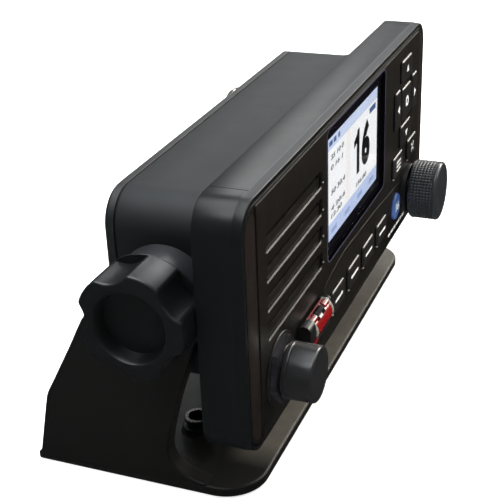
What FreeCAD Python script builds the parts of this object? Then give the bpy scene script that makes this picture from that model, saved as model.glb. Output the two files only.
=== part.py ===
import FreeCAD, Part
import math
import os
import Sketcher
from FreeCAD import Vector, Placement, Rotation

# Fixed-mount VHF marine radio on its tilting U bracket.
# Frame: +X to the right seen from the front, +Y to the back, +Z up, millimetres.
# Origin: centre of the four mounting holes, on the underside of the bracket.

doc = FreeCAD.newDocument("vhf_marine_radio")
sheet = doc.addObject("Spreadsheet::Sheet", "dims")
sheet.Label = "dims"

DIMS = [
    # front bezel
    ("panel_w", 180.0, "width over the bezel"),
    ("panel_bot", 20.6, "height of the bezel's bottom edge above the mounting plane"),
    ("panel_top", 91.3, "height of the bezel's top edge"),
    ("plate_top", 89.15, "height of the front plate's top edge"),
    ("face_y", -44.0, "front rim plane of the bezel"),
    ("bezel_depth", 12.9, "depth of the bezel, front to back"),
    ("bezel_corner", 8.5, "corner radius of the bezel outline"),
    ("rim_wall", 1.4, "thickness of the rim around the front plate"),
    ("rim_fillet", 0.7, "rounding of the bezel's front edge"),
    ("plate_thick", 2.0, "thickness of the front plate at its border"),
    ("plate_gap", 0.45, "shadow gap between rim and front plate"),
    ("raise_half", 81.0, "half width of the raised centre of the front plate"),
    ("raise_step", 0.4, "height of the raised centre"),
    ("cavity_half", 84.0, "half width of the cavity in the bezel"),
    ("bezel_back_wall", 2.0, "thickness of the bezel's back wall"),
    # chassis
    ("chassis_half", 73.0, "half width of the chassis"),
    ("chassis_bot", 28.7, "underside of the chassis"),
    ("chassis_top", 82.9, "top of the chassis"),
    ("chassis_corner", 10.0, "corner radius of the chassis"),
    ("chassis_wall", 2.4, "wall of the chassis"),
    ("chassis_back", -1.7, "back end of the chassis shell"),
    ("rear_back", 2.0, "back face of the rear cover plate"),
    ("fin_depth", 3.0, "how far the cooling fins stand out of the rear cover"),
    ("gasket", 0.8, "gasket thickness"),
    # tilt axis and bracket
    ("axis_y", -16.4, "tilt axis, front to back"),
    ("axis_z", 59.4, "tilt axis, height"),
    ("base_front", -40.4, "front edge of the bracket base"),
    ("base_rear", 26.0, "rear edge of the bracket base"),
    ("base_thick", 3.0, "thickness of the bracket base"),
    ("base_corner", 12.0, "front corner radius of the bracket base"),
    ("bracket_half", 81.0, "half width over the bracket's sides"),
    ("side_wall", 5.0, "thickness of the bracket's sides"),
    ("ear_radius", 13.0, "radius of the round ears"),
    ("ear_inner", 75.3, "inner face of an ear from the centre plane"),
    ("ear_outer", 83.6, "outer face of an ear from the centre plane"),
    ("bolt_radius", 4.0, "knob bolt radius"),
    ("bolt_clear", 0.06, "radial clearance of the knob bolt"),
    ("hole_dx", 114.0, "mounting hole spacing, side to side"),
    ("hole_dy", 28.0, "mounting hole spacing, front to back"),
    ("hole_radius", 2.25, "mounting hole radius in the ferrules"),
    ("ferrule_radius", 3.3, "outer radius of a ferrule"),
    ("ferrule_flange", 4.0, "radius of a ferrule's flange"),
    ("ferrule_top", 8.0, "top of a ferrule"),
    # knobs
    ("knob_back", 84.45, "back face of a knob from the centre plane"),
    ("knob_front", 97.2, "front face of a knob from the centre plane"),
    ("knob_radius", 14.6, "radius over the knob's lobes"),
    ("knob_rim", 0.8, "thickness of the round disc behind a knob's lobes"),
    ("scallop_radius", 7.7, "radius of a scallop between two lobes"),
    ("scallop_centre", 20.0, "distance of a scallop's centre from the axis"),
    ("scallop_angle", 106.4, "direction of the first scallop, degrees"),
    ("dish_radius", 9.9, "radius of the dish in the knob's face"),
    ("dish_depth", 4.5, "depth of the dish"),
    ("washer_thick", 0.5, "thickness of the metal knob washer"),
    # keys
    ("key_front", -45.3, "front face of the keys at rest"),
    ("key_back", -42.2, "back of a key's cap"),
    ("key_flange_back", -41.5, "back of a key's flange"),
    ("key_gap", 0.25, "gap around a key in the plate"),
    ("key_corner", 1.4, "corner radius of a key"),
    ("key_travel", 0.8, "key travel"),
    ("pad_x", 61.8, "centre of the direction pad"),
    ("pad_z", 69.1, "height of the direction pad's centre"),
    # dial
    ("dial_x", 66.6, "dial centre"),
    ("dial_z", 34.5, "dial centre, height"),
    ("dial_radius", 10.6, "dial radius"),
    ("dial_front", -57.8, "front face of the dial"),
    ("dial_back", -47.4, "back edge of the dial"),
    ("dial_bore", 3.02, "bore of the dial"),
    ("shaft_radius", 3.0, "dial shaft radius"),
    ("collar_radius", 9.0, "radius of the collar behind the dial"),
    # microphone socket
    ("mic_x", -68.0, "microphone socket centre"),
    ("mic_z", 36.7, "microphone socket centre, height"),
    ("cap_radius", 7.8, "radius of the socket's cap"),
    ("cap_front", -55.6, "front face of the cap"),
    ("cap_back", -47.0, "back edge of the cap"),
    ("cap_bore", 6.35, "bore of the cap"),
    ("thread_radius", 7.0, "radius of the socket's thread"),
    ("nose_radius", 6.0, "radius of the socket's nose"),
    ("nut_flats", 16.6, "width across the flats of the socket's nut"),
    ("seal_radius", 10.2, "radius of the washer under the nut"),
    # distress cover
    ("lid_left", -49.5, "left end of the distress cover"),
    ("lid_right", -34.5, "right end of the distress cover"),
    ("lid_back", -45.2, "back edge of the distress cover"),
    ("lid_mid_z", 37.4, "height of the cover's middle"),
    ("lid_radius", 3.6, "outer radius of the cover"),
    ("lid_wall", 0.8, "wall of the cover"),
    ("pin_y", -46.5, "hinge pin of the cover"),
    ("pin_z", 39.9, "hinge pin of the cover, height"),
    ("pin_radius", 0.6, "hinge pin radius"),
    ("barrel_radius", 1.25, "radius of the cover's hinge barrel"),
    # display
    ("disp_left", -21.4, "left edge of the display's picture"),
    ("disp_right", 30.6, "right edge of the display's picture"),
    ("disp_bot", 51.8, "bottom of the display's picture"),
    ("disp_top", 83.7, "top of the display's picture"),
    ("lens_margin", 4.9, "margin of the display's recess beside the picture"),
    ("lens_margin_z", 4.4, "margin of the recess above and below the picture"),
    ("lens_front", -43.2, "front face of the recessed lens"),
    # speaker
    ("grille_left", -74.7, "left end of the speaker slots"),
    ("grille_right", -31.2, "right end of the speaker slots"),
    ("slot_z", 73.9, "lower edge of the top channel of the grille"),
    ("slot_depth", 0.9, "depth of a channel"),
    ("slot_height", 4.4, "height of a channel"),
    ("slot_pitch", 8.25, "pitch of the channels"),
    ("spk_x", -53.0, "speaker centre"),
    ("spk_z", 61.5, "speaker centre, height"),
    ("spk_radius", 18.0, "speaker radius"),
    # antenna socket
    ("ant_x", 42.0, "antenna socket centre"),
    ("ant_z", 67.1, "antenna socket centre, height"),
    ("ant_radius", 7.94, "antenna socket thread radius"),
    ("ant_end", 13.0, "end of the antenna socket"),
]


class Q:
    """A size: the expression that a property is bound to, and its value."""

    def __init__(self, text, value):
        self.t = text
        self.v = float(value)

    @staticmethod
    def of(o):
        if isinstance(o, Q):
            return o
        return Q("(%s)" % repr(round(float(o), 6)), o)

    def __add__(self, o):
        o = Q.of(o)
        return Q("(%s + %s)" % (self.t, o.t), self.v + o.v)

    __radd__ = __add__

    def __sub__(self, o):
        o = Q.of(o)
        return Q("(%s - %s)" % (self.t, o.t), self.v - o.v)

    def __rsub__(self, o):
        return Q.of(o) - self

    def __mul__(self, o):
        o = Q.of(o)
        return Q("(%s * %s)" % (self.t, o.t), self.v * o.v)

    __rmul__ = __mul__

    def __truediv__(self, o):
        o = Q.of(o)
        return Q("(%s / %s)" % (self.t, o.t), self.v / o.v)

    def __neg__(self):
        return Q("(0 - %s)" % self.t, -self.v)


D = {}
for i, (alias, value, note) in enumerate(DIMS):
    sheet.set("A%d" % (i + 1), note)
    sheet.set("B%d" % (i + 1), repr(value))
    sheet.setAlias("B%d" % (i + 1), alias)
    D[alias] = Q("dims.%s" % alias, value)
doc.recompute()


class Names:
    def __getattr__(self, k):
        return D[k]


d = Names()
NODES = {}
counter = [0]


def uid(stem):
    counter[0] += 1
    return "%s_%d" % (stem, counter[0])


def bind(o, prop, q):
    o.setExpression(prop, Q.of(q).t)


def place(o, x, y, z, rot=None):
    x, y, z = Q.of(x), Q.of(y), Q.of(z)
    o.Placement = Placement(Vector(x.v, y.v, z.v), rot if rot else Rotation())
    bind(o, "Placement.Base.x", x)
    bind(o, "Placement.Base.y", y)
    bind(o, "Placement.Base.z", z)
    return o


TO_X = Rotation(Vector(0, 1, 0), 90)
TO_Y = Rotation(Vector(1, 0, 0), -90)
TURN = {"X": TO_X, "Y": TO_Y, "Z": Rotation()}


def box(x0, x1, y0, y1, z0, z1, name=None):
    o = doc.addObject("Part::Box", name or uid("box"))
    x0, x1, y0, y1, z0, z1 = [Q.of(a) for a in (x0, x1, y0, y1, z0, z1)]
    bind(o, "Length", x1 - x0)
    bind(o, "Width", y1 - y0)
    bind(o, "Height", z1 - z0)
    return place(o, x0, y0, z0)


def cyl(axis, x, y, z, r, length, name=None):
    """Cylinder from (x, y, z) along +axis."""
    o = doc.addObject("Part::Cylinder", name or uid("cyl"))
    bind(o, "Radius", r)
    bind(o, "Height", length)
    return place(o, x, y, z, TURN[axis])


def cone(axis, x, y, z, r1, r2, length):
    o = doc.addObject("Part::Cone", uid("cone"))
    bind(o, "Radius1", r1)
    bind(o, "Radius2", r2)
    bind(o, "Height", length)
    return place(o, x, y, z, TURN[axis])


def fuse(*parts):
    if len(parts) == 1:
        return parts[0]
    o = doc.addObject("Part::MultiFuse", uid("fuse"))
    o.Shapes = list(parts)
    o.Refine = True
    return o


def group(*parts):
    o = doc.addObject("Part::Compound", uid("group"))
    o.Links = list(parts)
    return o


def cut(base, *tools):
    o = doc.addObject("Part::Cut", uid("cut"))
    o.Base = base
    o.Tool = fuse(*tools)
    o.Refine = True
    return o


def common(a, b):
    o = doc.addObject("Part::MultiCommon", uid("common"))
    o.Shapes = [a, b]
    return o


def origin_plane(body, role):
    for f in body.Origin.OriginFeatures:
        if f.Role == role:
            return f
    raise RuntimeError("no plane " + role)


def new_body(stem):
    return doc.addObject("PartDesign::Body", uid(stem))


def sketch_on(body, role):
    sk = body.newObject("Sketcher::SketchObject", uid("sketch"))
    sk.AttachmentSupport = [(origin_plane(body, role), "")]
    sk.MapMode = "FlatFace"
    return sk


def con_q(sk, kind, args, q):
    q = Q.of(q)
    i = sk.addConstraint(Sketcher.Constraint(kind, *(list(args) + [q.v])))
    sk.setExpression("Constraints[%d]" % i, q.t)
    return i


def sk_rect(sk, u0, u1, v0, v1, r=None):
    """Rectangle, with rounded corners when r is given, fully constrained."""
    u0, u1, v0, v1 = [Q.of(a) for a in (u0, u1, v0, v1)]
    L = Part.LineSegment
    if r is None:
        p = [Vector(u0.v, v0.v, 0), Vector(u1.v, v0.v, 0), Vector(u1.v, v1.v, 0), Vector(u0.v, v1.v, 0)]
        g = sk.addGeometry([L(p[i], p[(i + 1) % 4]) for i in range(4)], False)
        C = Sketcher.Constraint
        sk.addConstraint([C("Coincident", g[i], 2, g[(i + 1) % 4], 1) for i in range(4)]
                         + [C("Horizontal", g[0]), C("Horizontal", g[2]), C("Vertical", g[1]), C("Vertical", g[3])])
        con_q(sk, "DistanceX", (-1, 1, g[3], 2), u0)
        con_q(sk, "DistanceX", (-1, 1, g[1], 1), u1)
        con_q(sk, "DistanceY", (-1, 1, g[0], 1), v0)
        con_q(sk, "DistanceY", (-1, 1, g[2], 1), v1)
        return g
    r = Q.of(r)
    a, b, c, e, R = u0.v, u1.v, v0.v, v1.v, r.v

    def arc(cx, cy, s):
        return Part.ArcOfCircle(Part.Circle(Vector(cx, cy, 0), Vector(0, 0, 1), R), math.radians(s), math.radians(s + 90))

    geo = [L(Vector(a + R, c, 0), Vector(b - R, c, 0)), arc(b - R, c + R, -90),
           L(Vector(b, c + R, 0), Vector(b, e - R, 0)), arc(b - R, e - R, 0),
           L(Vector(b - R, e, 0), Vector(a + R, e, 0)), arc(a + R, e - R, 90),
           L(Vector(a, e - R, 0), Vector(a, c + R, 0)), arc(a + R, c + R, 180)]
    g = sk.addGeometry(geo, False)
    C = Sketcher.Constraint
    cs = [C("Tangent", g[i], 2, g[(i + 1) % 8], 1) for i in range(8)]
    cs += [C("Horizontal", g[0]), C("Horizontal", g[4]), C("Vertical", g[2]), C("Vertical", g[6])]
    cs += [C("Equal", g[1], g[3]), C("Equal", g[3], g[5]), C("Equal", g[5], g[7])]
    sk.addConstraint(cs)
    con_q(sk, "Radius", (g[1],), r)
    con_q(sk, "DistanceX", (-1, 1, g[6], 1), u0)
    con_q(sk, "DistanceX", (-1, 1, g[2], 1), u1)
    con_q(sk, "DistanceY", (-1, 1, g[0], 1), v0)
    con_q(sk, "DistanceY", (-1, 1, g[4], 1), v1)
    return g


def sk_circle(sk, u, v, r):
    u, v, r = Q.of(u), Q.of(v), Q.of(r)
    g = sk.addGeometry(Part.Circle(Vector(u.v, v.v, 0), Vector(0, 0, 1), r.v), False)
    con_q(sk, "Radius", (g,), r)
    if u.v == 0 and v.v == 0:
        sk.addConstraint(Sketcher.Constraint("Coincident", g, 3, -1, 1))
    else:
        con_q(sk, "DistanceX", (-1, 1, g, 3), u)
        con_q(sk, "DistanceY", (-1, 1, g, 3), v)
    return g


def sk_poly(sk, pts):
    pts = [(Q.of(u), Q.of(v)) for u, v in pts]
    n = len(pts)
    P = [Vector(u.v, v.v, 0) for u, v in pts]
    g = sk.addGeometry([Part.LineSegment(P[i], P[(i + 1) % n]) for i in range(n)], False)
    sk.addConstraint([Sketcher.Constraint("Coincident", g[i], 2, g[(i + 1) % n], 1) for i in range(n)])
    for i in range(n):
        con_q(sk, "DistanceX", (-1, 1, g[i], 1), pts[i][0])
        con_q(sk, "DistanceY", (-1, 1, g[i], 1), pts[i][1])
    return g


def pad(body, sk, length, reverse=False):
    p = body.newObject("PartDesign::Pad", uid("pad"))
    p.Profile = sk
    bind(p, "Length", length)
    p.Reversed = reverse
    return p


def pocket(body, sk, length, reverse=False):
    p = body.newObject("PartDesign::Pocket", uid("pocket"))
    p.Profile = sk
    bind(p, "Length", length)
    p.Reversed = reverse
    return p


def prism_y(y0, y1, draw, stem="prism"):
    """Body: a sketch in X and Z, drawn by draw(sk), padded from y0 to y1."""
    y0, y1 = Q.of(y0), Q.of(y1)
    b = new_body(stem)
    sk = sketch_on(b, "XZ_Plane")
    draw(sk)
    # the sketch's normal is -Y, so the pad runs forward from y1
    pad(b, sk, y1 - y0)
    return place(b, 0, y1, 0)


def prism_x(x0, x1, draw, stem="prism"):
    """Body: a sketch in Y and Z padded from x0 to x1."""
    x0, x1 = Q.of(x0), Q.of(x1)
    b = new_body(stem)
    sk = sketch_on(b, "YZ_Plane")
    draw(sk)
    pad(b, sk, x1 - x0)
    return place(b, x0, 0, 0)


def prism_z(z0, z1, draw, stem="prism"):
    z0, z1 = Q.of(z0), Q.of(z1)
    b = new_body(stem)
    sk = sketch_on(b, "XY_Plane")
    draw(sk)
    pad(b, sk, z1 - z0)
    return place(b, 0, 0, z0)


def edges_where(shape, test):
    return ["Edge%d" % (i + 1) for i, e in enumerate(shape.Edges) if test(e)]


def round_body(body, test, radius, kind="PartDesign::Fillet"):
    """Fillet or chamfer, inside a body, of the tip's edges that pass the test (in the body's own frame)."""
    doc.recompute()
    tip = body.Tip
    names = edges_where(tip.Shape, test)
    if not names:
        raise RuntimeError("no edges on " + body.Name)
    f = body.newObject(kind, uid("round"))
    f.Base = (tip, names)
    bind(f, "Radius" if kind.endswith("Fillet") else "Size", radius)
    return f


def round_part(o, test, radius):
    """Part::Fillet of the edges of o that pass the test."""
    doc.recompute()
    f = doc.addObject("Part::Fillet", uid("fillet"))
    f.Base = o
    r = Q.of(radius).v
    f.Edges = [(i + 1, r, r) for i, e in enumerate(o.Shape.Edges) if test(e)]
    return f


def flat_at(e, axis, value, tol=1e-4):
    bb = e.BoundBox
    lo, hi = {"x": (bb.XMin, bb.XMax), "y": (bb.YMin, bb.YMax), "z": (bb.ZMin, bb.ZMax)}[axis]
    return abs(lo - value) < tol and abs(hi - value) < tol


def node(name, o):
    o.Label = name
    NODES[name] = o
    return o


# ---------------------------------------------------------------- bracket
def base_outline(sk):
    """Bracket base in plan: square rear corners, rounded front corners."""
    w, f, r, c = d.bracket_half, d.base_front, d.base_rear, d.base_corner
    W, F, R, K = w.v, f.v, r.v, c.v
    L = Part.LineSegment
    g = sk.addGeometry([
        L(Vector(-W + K, F, 0), Vector(W - K, F, 0)),
        Part.ArcOfCircle(Part.Circle(Vector(W - K, F + K, 0), Vector(0, 0, 1), K), -math.pi / 2, 0),
        L(Vector(W, F + K, 0), Vector(W, R, 0)),
        L(Vector(W, R, 0), Vector(-W, R, 0)),
        L(Vector(-W, R, 0), Vector(-W, F + K, 0)),
        Part.ArcOfCircle(Part.Circle(Vector(-W + K, F + K, 0), Vector(0, 0, 1), K), math.pi, 1.5 * math.pi)], False)
    C = Sketcher.Constraint
    sk.addConstraint([C("Tangent", g[0], 2, g[1], 1), C("Tangent", g[1], 2, g[2], 1), C("Coincident", g[2], 2, g[3], 1),
                      C("Coincident", g[3], 2, g[4], 1), C("Tangent", g[4], 2, g[5], 1), C("Tangent", g[5], 2, g[0], 1),
                      C("Horizontal", g[0]), C("Vertical", g[2]), C("Horizontal", g[3]), C("Vertical", g[4]),
                      C("Equal", g[1], g[5])])
    con_q(sk, "Radius", (g[1],), c)
    con_q(sk, "DistanceX", (-1, 1, g[2], 2), w)
    con_q(sk, "DistanceX", (-1, 1, g[3], 2), -w)
    con_q(sk, "DistanceY", (-1, 1, g[0], 1), f)
    con_q(sk, "DistanceY", (-1, 1, g[3], 1), r)


# side plate: from the round ear down to the base, curved into the base in front
SIDE = [(-3.6, 57.6), (5.3, 51.8), (18.0, 28.4), (20.6, 23.6), (21.6, 20.0), (26.0, 0.5), (-27.0, 0.5),
        (-27.0, 3.4), (-22.5, 4.3), (-18.9, 6.2), (-16.7, 8.8), (-15.9, 12.1), (-16.7, 17.3), (-18.0, 22.5),
        (-19.9, 29.3), (-22.4, 36.6), (-28.7, 55.2), (-20.0, 59.0)]


def side_outline(sk):
    sk_poly(sk, SIDE)


base = prism_z(0, d.base_thick, base_outline, "bracket_base")
round_body(base, lambda e: flat_at(e, "z", 3.0) and e.BoundBox.YMin < 25.0, 0.9)
side_l = prism_x(-d.bracket_half, -d.bracket_half + d.side_wall, side_outline, "bracket_side")
side_r = prism_x(d.bracket_half - d.side_wall, d.bracket_half, side_outline, "bracket_side")
ear_len = d.ear_outer - d.ear_inner


def ear(x0):
    c = cyl("X", x0, d.axis_y, d.axis_z, d.ear_radius, ear_len)
    return c


rough = fuse(base, side_l, side_r, ear(-d.ear_outer), ear(d.ear_inner))
hx, hy = d.hole_dx / 2, d.hole_dy / 2
corners = [(sx, sy) for sx in (-1, 1) for sy in (-1, 1)]
bolt_hole_r = d.bolt_radius + d.bolt_clear
holes = [cyl("Z", hx * sx, hy * sy, -1, d.ferrule_radius, 12) for sx, sy in corners]
holes += [cyl("X", -100, d.axis_y, d.axis_z, bolt_hole_r, 200)]
bosses = [cyl("Z", hx * sx, hy * sy, 0, d.ferrule_radius + 1.3, d.ferrule_top - 2.6) for sx, sy in corners]
bracket = cut(fuse(rough, *bosses), *holes)
node("mounting_bracket", bracket)


def ferrule(sx, sy):
    tube = fuse(cyl("Z", hx * sx, hy * sy, 0, d.ferrule_radius, d.ferrule_top),
                cyl("Z", hx * sx, hy * sy, d.ferrule_top - 1.2, d.ferrule_flange, 1.2))
    return cut(tube, cyl("Z", hx * sx, hy * sy, -1, d.hole_radius, 12))


node("bracket_ferrules", group(*[ferrule(sx, sy) for sx, sy in corners]))

# ---------------------------------------------------------------- front bezel
half = d.panel_w / 2
bez_back = d.face_y + d.bezel_depth
bz = prism_y(d.face_y, bez_back, lambda sk: sk_rect(sk, -half, half, d.panel_bot, d.panel_top, d.bezel_corner), "bezel")
round_body(bz, lambda e: flat_at(e, "y", -d.bezel_depth.v), d.rim_fillet)
seat = prism_y(d.face_y - 1, d.face_y + d.plate_thick + 0.2,
               lambda sk: sk_rect(sk, -half + d.rim_wall, half - d.rim_wall, d.panel_bot + d.rim_wall,
                                  d.plate_top + d.plate_gap, d.bezel_corner - d.rim_wall), "seat")
cavity = prism_y(d.face_y - 1, bez_back - d.bezel_back_wall,
                 lambda sk: sk_rect(sk, -d.cavity_half, d.cavity_half, d.panel_bot + 4.2, d.panel_top - 4.2, 5.0), "cavity")
throat = box(-66, 66, d.face_y, bez_back + 1, d.chassis_bot + 5, d.chassis_top - 5)
SCREWS = [(-86.6, 32.0), (86.6, 32.0), (-86.6, 79.0), (86.6, 79.0)]
bezel_holes = [cyl("Y", x, d.face_y - 1, z, 1.05, 20) for x, z in SCREWS]
bezel_sinks = [cyl("Y", x, bez_back - 2.0, z, 2.1, 6) for x, z in SCREWS]
node("front_bezel", cut(bz, seat, cavity, throat, *(bezel_holes + bezel_sinks)))


def bezel_screw(x, z):
    head = cyl("Y", x, bez_back - 1.9, z, 1.9, 1.6)
    shank = cyl("Y", x, d.face_y + 0.9, z, 1.0, d.bezel_depth - 2.7)
    slot = box(x - 1.5, x + 1.5, bez_back - 0.9, bez_back + 1, z - 0.25, z + 0.25)
    return cut(fuse(head, shank), slot)


node("bezel_screws", group(*[bezel_screw(x, z) for x, z in SCREWS]))

# ---------------------------------------------------------------- keys
K = {}


def key_spec(name, x0, x1, z0, z1, low=0.7, high=0.7):
    """A key's cap, and how far its flange reaches below and above it."""
    K[name] = tuple(Q.of(a) for a in (x0, x1, z0, z1)) + ((low, high),)


key_spec("up_key", d.pad_x - 7, d.pad_x + 7, d.pad_z + 7.6, d.pad_z + 15.6)
key_spec("down_key", d.pad_x - 7, d.pad_x + 7, d.pad_z - 15.6, d.pad_z - 7.6, low=-0.4)
key_spec("left_key", d.pad_x - 14.9, d.pad_x - 7.9, d.pad_z - 6.8, d.pad_z + 6.8)
key_spec("right_key", d.pad_x + 7.9, d.pad_x + 14.9, d.pad_z - 6.8, d.pad_z + 6.8)
key_spec("enter_key", d.pad_x - 6.2, d.pad_x + 6.2, d.pad_z - 5.8, d.pad_z + 5.8)
key_spec("menu_key", 45.6, 58.2, 44.8, 52.8, high=-0.4)
key_spec("clear_key", 65.2, 77.8, 44.8, 52.8, high=-0.4)
key_spec("soft_key_1", -24.4, -11.7, 28.7, 36.6)
key_spec("soft_key_2", -7.7, 5.0, 28.7, 36.6)
key_spec("soft_key_3", 8.5, 21.2, 28.7, 36.6)
key_spec("soft_key_4", 25.1, 37.8, 28.7, 36.6)


def key(name):
    x0, x1, z0, z1, c = K[name]
    cap = prism_y(d.key_front, d.key_back + 0.3,
                  lambda sk: sk_rect(sk, x0, x1, z0, z1, d.key_corner), name)
    depth = (d.key_back + 0.3 - d.key_front).v
    round_body(cap, lambda e: flat_at(e, "y", -depth), 0.35)
    fl = prism_y(d.key_back + 0.4, d.key_flange_back,
                 lambda sk: sk_rect(sk, x0 - 0.7, x1 + 0.7, z0 - c[0], z1 + c[1], d.key_corner + 0.7), name + "_flange")
    neck = prism_y(d.key_back, d.key_flange_back,
                   lambda sk: sk_rect(sk, x0 + 0.3, x1 - 0.3, z0 + 0.3, z1 - 0.3, d.key_corner), name + "_neck")
    return fuse(cap, fl, neck)


for kname in K:
    node(kname, key(kname))

CH = (Q.of(51.4), Q.of(33.3), Q.of(4.8))   # round channel key: x, z, radius
ch_cap = cyl("Y", CH[0], d.key_front, CH[1], CH[2], d.key_flange_back - d.key_front)
ch_cap = round_part(ch_cap, lambda e: flat_at(e, "y", d.key_front.v), 0.5)
ch_fl = cyl("Y", CH[0], d.key_back + 0.4, CH[1], CH[2] + 0.7, d.key_flange_back - d.key_back - 0.4)
node("channel_key", fuse(ch_cap, ch_fl))

# key under the distress cover
dk = (Q.of(-46.6), Q.of(-37.4), Q.of(34.9), Q.of(38.0))
node("distress_key", fuse(
    prism_y(-45.6, d.key_flange_back, lambda sk: sk_rect(sk, dk[0], dk[1], dk[2], dk[3], 1.0), "distress_key"),
    prism_y(d.key_back + 0.4, d.key_flange_back,
            lambda sk: sk_rect(sk, dk[0] - 0.7, dk[1] + 0.7, dk[2] - 0.7, dk[3] + 0.7, 1.4), "distress_flange")))

# ---------------------------------------------------------------- front plate
pg = d.rim_wall + d.plate_gap
plate_back = d.face_y + d.plate_thick
border = prism_y(d.face_y, plate_back,
                 lambda sk: sk_rect(sk, -half + pg, half - pg, d.panel_bot + pg, d.plate_top, d.bezel_corner - pg),
                 "plate")
raised = prism_y(d.face_y - d.raise_step, d.face_y + 0.5,
                 lambda sk: sk_rect(sk, -d.raise_half, d.raise_half, d.panel_bot + pg + 0.4, d.plate_top - 0.4, 2.0),
                 "raised")
windows = []
g = d.key_gap
for kname, (x0, x1, z0, z1, c) in K.items():
    windows.append(prism_y(d.face_y - 3, plate_back + 1,
                           lambda sk: sk_rect(sk, x0 - g, x1 + g, z0 - g, z1 + g, d.key_corner + g), "window"))
windows.append(cyl("Y", CH[0], d.face_y - 3, CH[1], CH[2] + g, 8))
windows.append(prism_y(d.face_y - 3, plate_back + 1,
                       lambda sk: sk_rect(sk, dk[0] - g, dk[1] + g, dk[2] - g, dk[3] + g, 1.2), "window"))
m, mz = d.lens_margin, d.lens_margin_z
windows.append(prism_y(d.face_y - 3, plate_back + 1,
                       lambda sk: sk_rect(sk, d.disp_left - m, d.disp_right + m, d.disp_bot - mz, d.disp_top + mz, 2.4),
                       "window"))
windows.append(cyl("Y", d.dial_x, d.face_y - 3, d.dial_z, 3.6, 8))
windows.append(cyl("Y", d.mic_x, d.face_y - 3, d.mic_z, d.thread_radius + 0.1, 8))
for i in range(4):
    zl = d.slot_z - d.slot_pitch * i
    windows.append(box(d.grille_left, d.grille_right, d.face_y - 3, d.face_y - d.raise_step + d.slot_depth,
                       zl, zl + d.slot_height))
    windows.append(box(d.grille_left, d.grille_right, d.face_y - 3, plate_back + 1,
                       zl + d.slot_height - 1.1, zl + d.slot_height))
windows += [cyl("Y", x, d.face_y + 0.8, z, 1.02, 4) for x, z in SCREWS]
node("front_plate", cut(fuse(border, raised), *windows))

# ---------------------------------------------------------------- display
# the lens lies in the recess, and the picture is bonded into a pocket in its back
ml, mlz = d.lens_margin - 0.12, d.lens_margin_z - 0.12
lens = prism_y(d.lens_front, d.face_y + 2.1,
               lambda sk: sk_rect(sk, d.disp_left - ml, d.disp_right + ml, d.disp_bot - mlz, d.disp_top + mlz, 2.3),
               "lens")
node("display_lens", cut(lens, box(d.disp_left - 0.1, d.disp_right + 0.1, d.lens_front + 0.15, d.face_y + 4,
                                   d.disp_bot - 0.1, d.disp_top + 0.1)))
node("display_panel", prism_y(d.lens_front + 0.17, d.lens_front + 0.57,
                              lambda sk: sk_rect(sk, d.disp_left, d.disp_right, d.disp_bot, d.disp_top), "picture"))
node("lcd_module", box(-26, 36, d.face_y + 2.2, d.face_y + 5.0, 48.6, 86.6))

# ---------------------------------------------------------------- speaker
node("grille_mesh", box(-76.5, -29.0, plate_back + 0.05, plate_back + 0.35, 46.5, 79.5))
spk_front = plate_back + 0.6
spk_ring = cut(cyl("Y", d.spk_x, spk_front, d.spk_z, d.spk_radius, 3.0),
               cyl("Y", d.spk_x, spk_front - 1, d.spk_z, d.spk_radius - 2.5, 3.2))
spk_basket = cyl("Y", d.spk_x, spk_front + 3.0, d.spk_z, 12.0, 3.4)
spk_basket = fuse(cut(cyl("Y", d.spk_x, spk_front, d.spk_z, d.spk_radius, 3.0),
                      cyl("Y", d.spk_x, spk_front - 1, d.spk_z, d.spk_radius - 2.5, 3.2)), spk_basket)
node("speaker_frame", spk_basket)
node("speaker_cone", cone("Y", d.spk_x, spk_front + 0.4, d.spk_z, d.spk_radius - 2.7, 6.0, 1.6))

# ---------------------------------------------------------------- keypad mat, front board
MAT = [(-26.0, 26.2), (58.6, 26.2), (58.6, 42.6), (80.0, 42.6), (80.0, 86.0), (44.4, 86.0), (44.4, 39.0), (-26.0, 39.0)]
mat = prism_y(-40.2, -39.4, lambda sk: sk_poly(sk, MAT), "mat")
posts = []
for kname, (x0, x1, z0, z1, c) in K.items():
    posts.append(cyl("Y", (x0 + x1) / 2, -39.5, (z0 + z1) / 2, 2.0, 1.2))
posts.append(cyl("Y", CH[0], -39.5, CH[1], 2.0, 1.2))
node("keypad_mat", fuse(mat, *posts))
board = prism_y(-38.1, -36.5, lambda sk: sk_rect(sk, -50.0, 82.0, 26.4, 85.4, 2.0), "board")
node("front_board", cut(board, cyl("Y", d.spk_x, -39, d.spk_z, 19.0, 4)))

# ---------------------------------------------------------------- dial
enc = fuse(box(d.dial_x - 6, d.dial_x + 6, -41.6, -38.15, d.dial_z - 6, d.dial_z + 6),
           cyl("Y", d.dial_x, -45.6, d.dial_z, 3.5, 4.2))
enc = cut(enc, cyl("Y", d.dial_x, -47, d.dial_z, d.shaft_radius + 0.05, 8.3))
node("encoder_body", enc)
node("encoder_plunger", cyl("Y", d.dial_x, -39.85, d.dial_z, 2.7, 0.55))
node("dial_shaft", cyl("Y", d.dial_x, -53.0, d.dial_z, d.shaft_radius, 13.05))
node("dial_collar", cut(cyl("Y", d.dial_x, d.face_y - 2.5, d.dial_z, d.collar_radius, 2.1),
                        cyl("Y", d.dial_x, d.face_y - 4, d.dial_z, 3.8, 6)))

# dial: a cup round a hub, with a chamfered front edge
db = prism_y(d.dial_front, d.dial_back, lambda sk: sk_circle(sk, d.dial_x, d.dial_z, d.dial_radius), "dial")
dial_len = (d.dial_back - d.dial_front).v
round_body(db, lambda e: flat_at(e, "y", -dial_len), 1.0, "PartDesign::Chamfer")
hollow = cut(cyl("Y", d.dial_x, d.dial_back - 6.0, d.dial_z, d.dial_radius - 1.8, 8),
             cyl("Y", d.dial_x, d.dial_back - 8.0, d.dial_z, 5.0, 12))
node("tuning_dial", cut(db, hollow, cyl("Y", d.dial_x, -53.2, d.dial_z, d.dial_bore, 10)))

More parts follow.
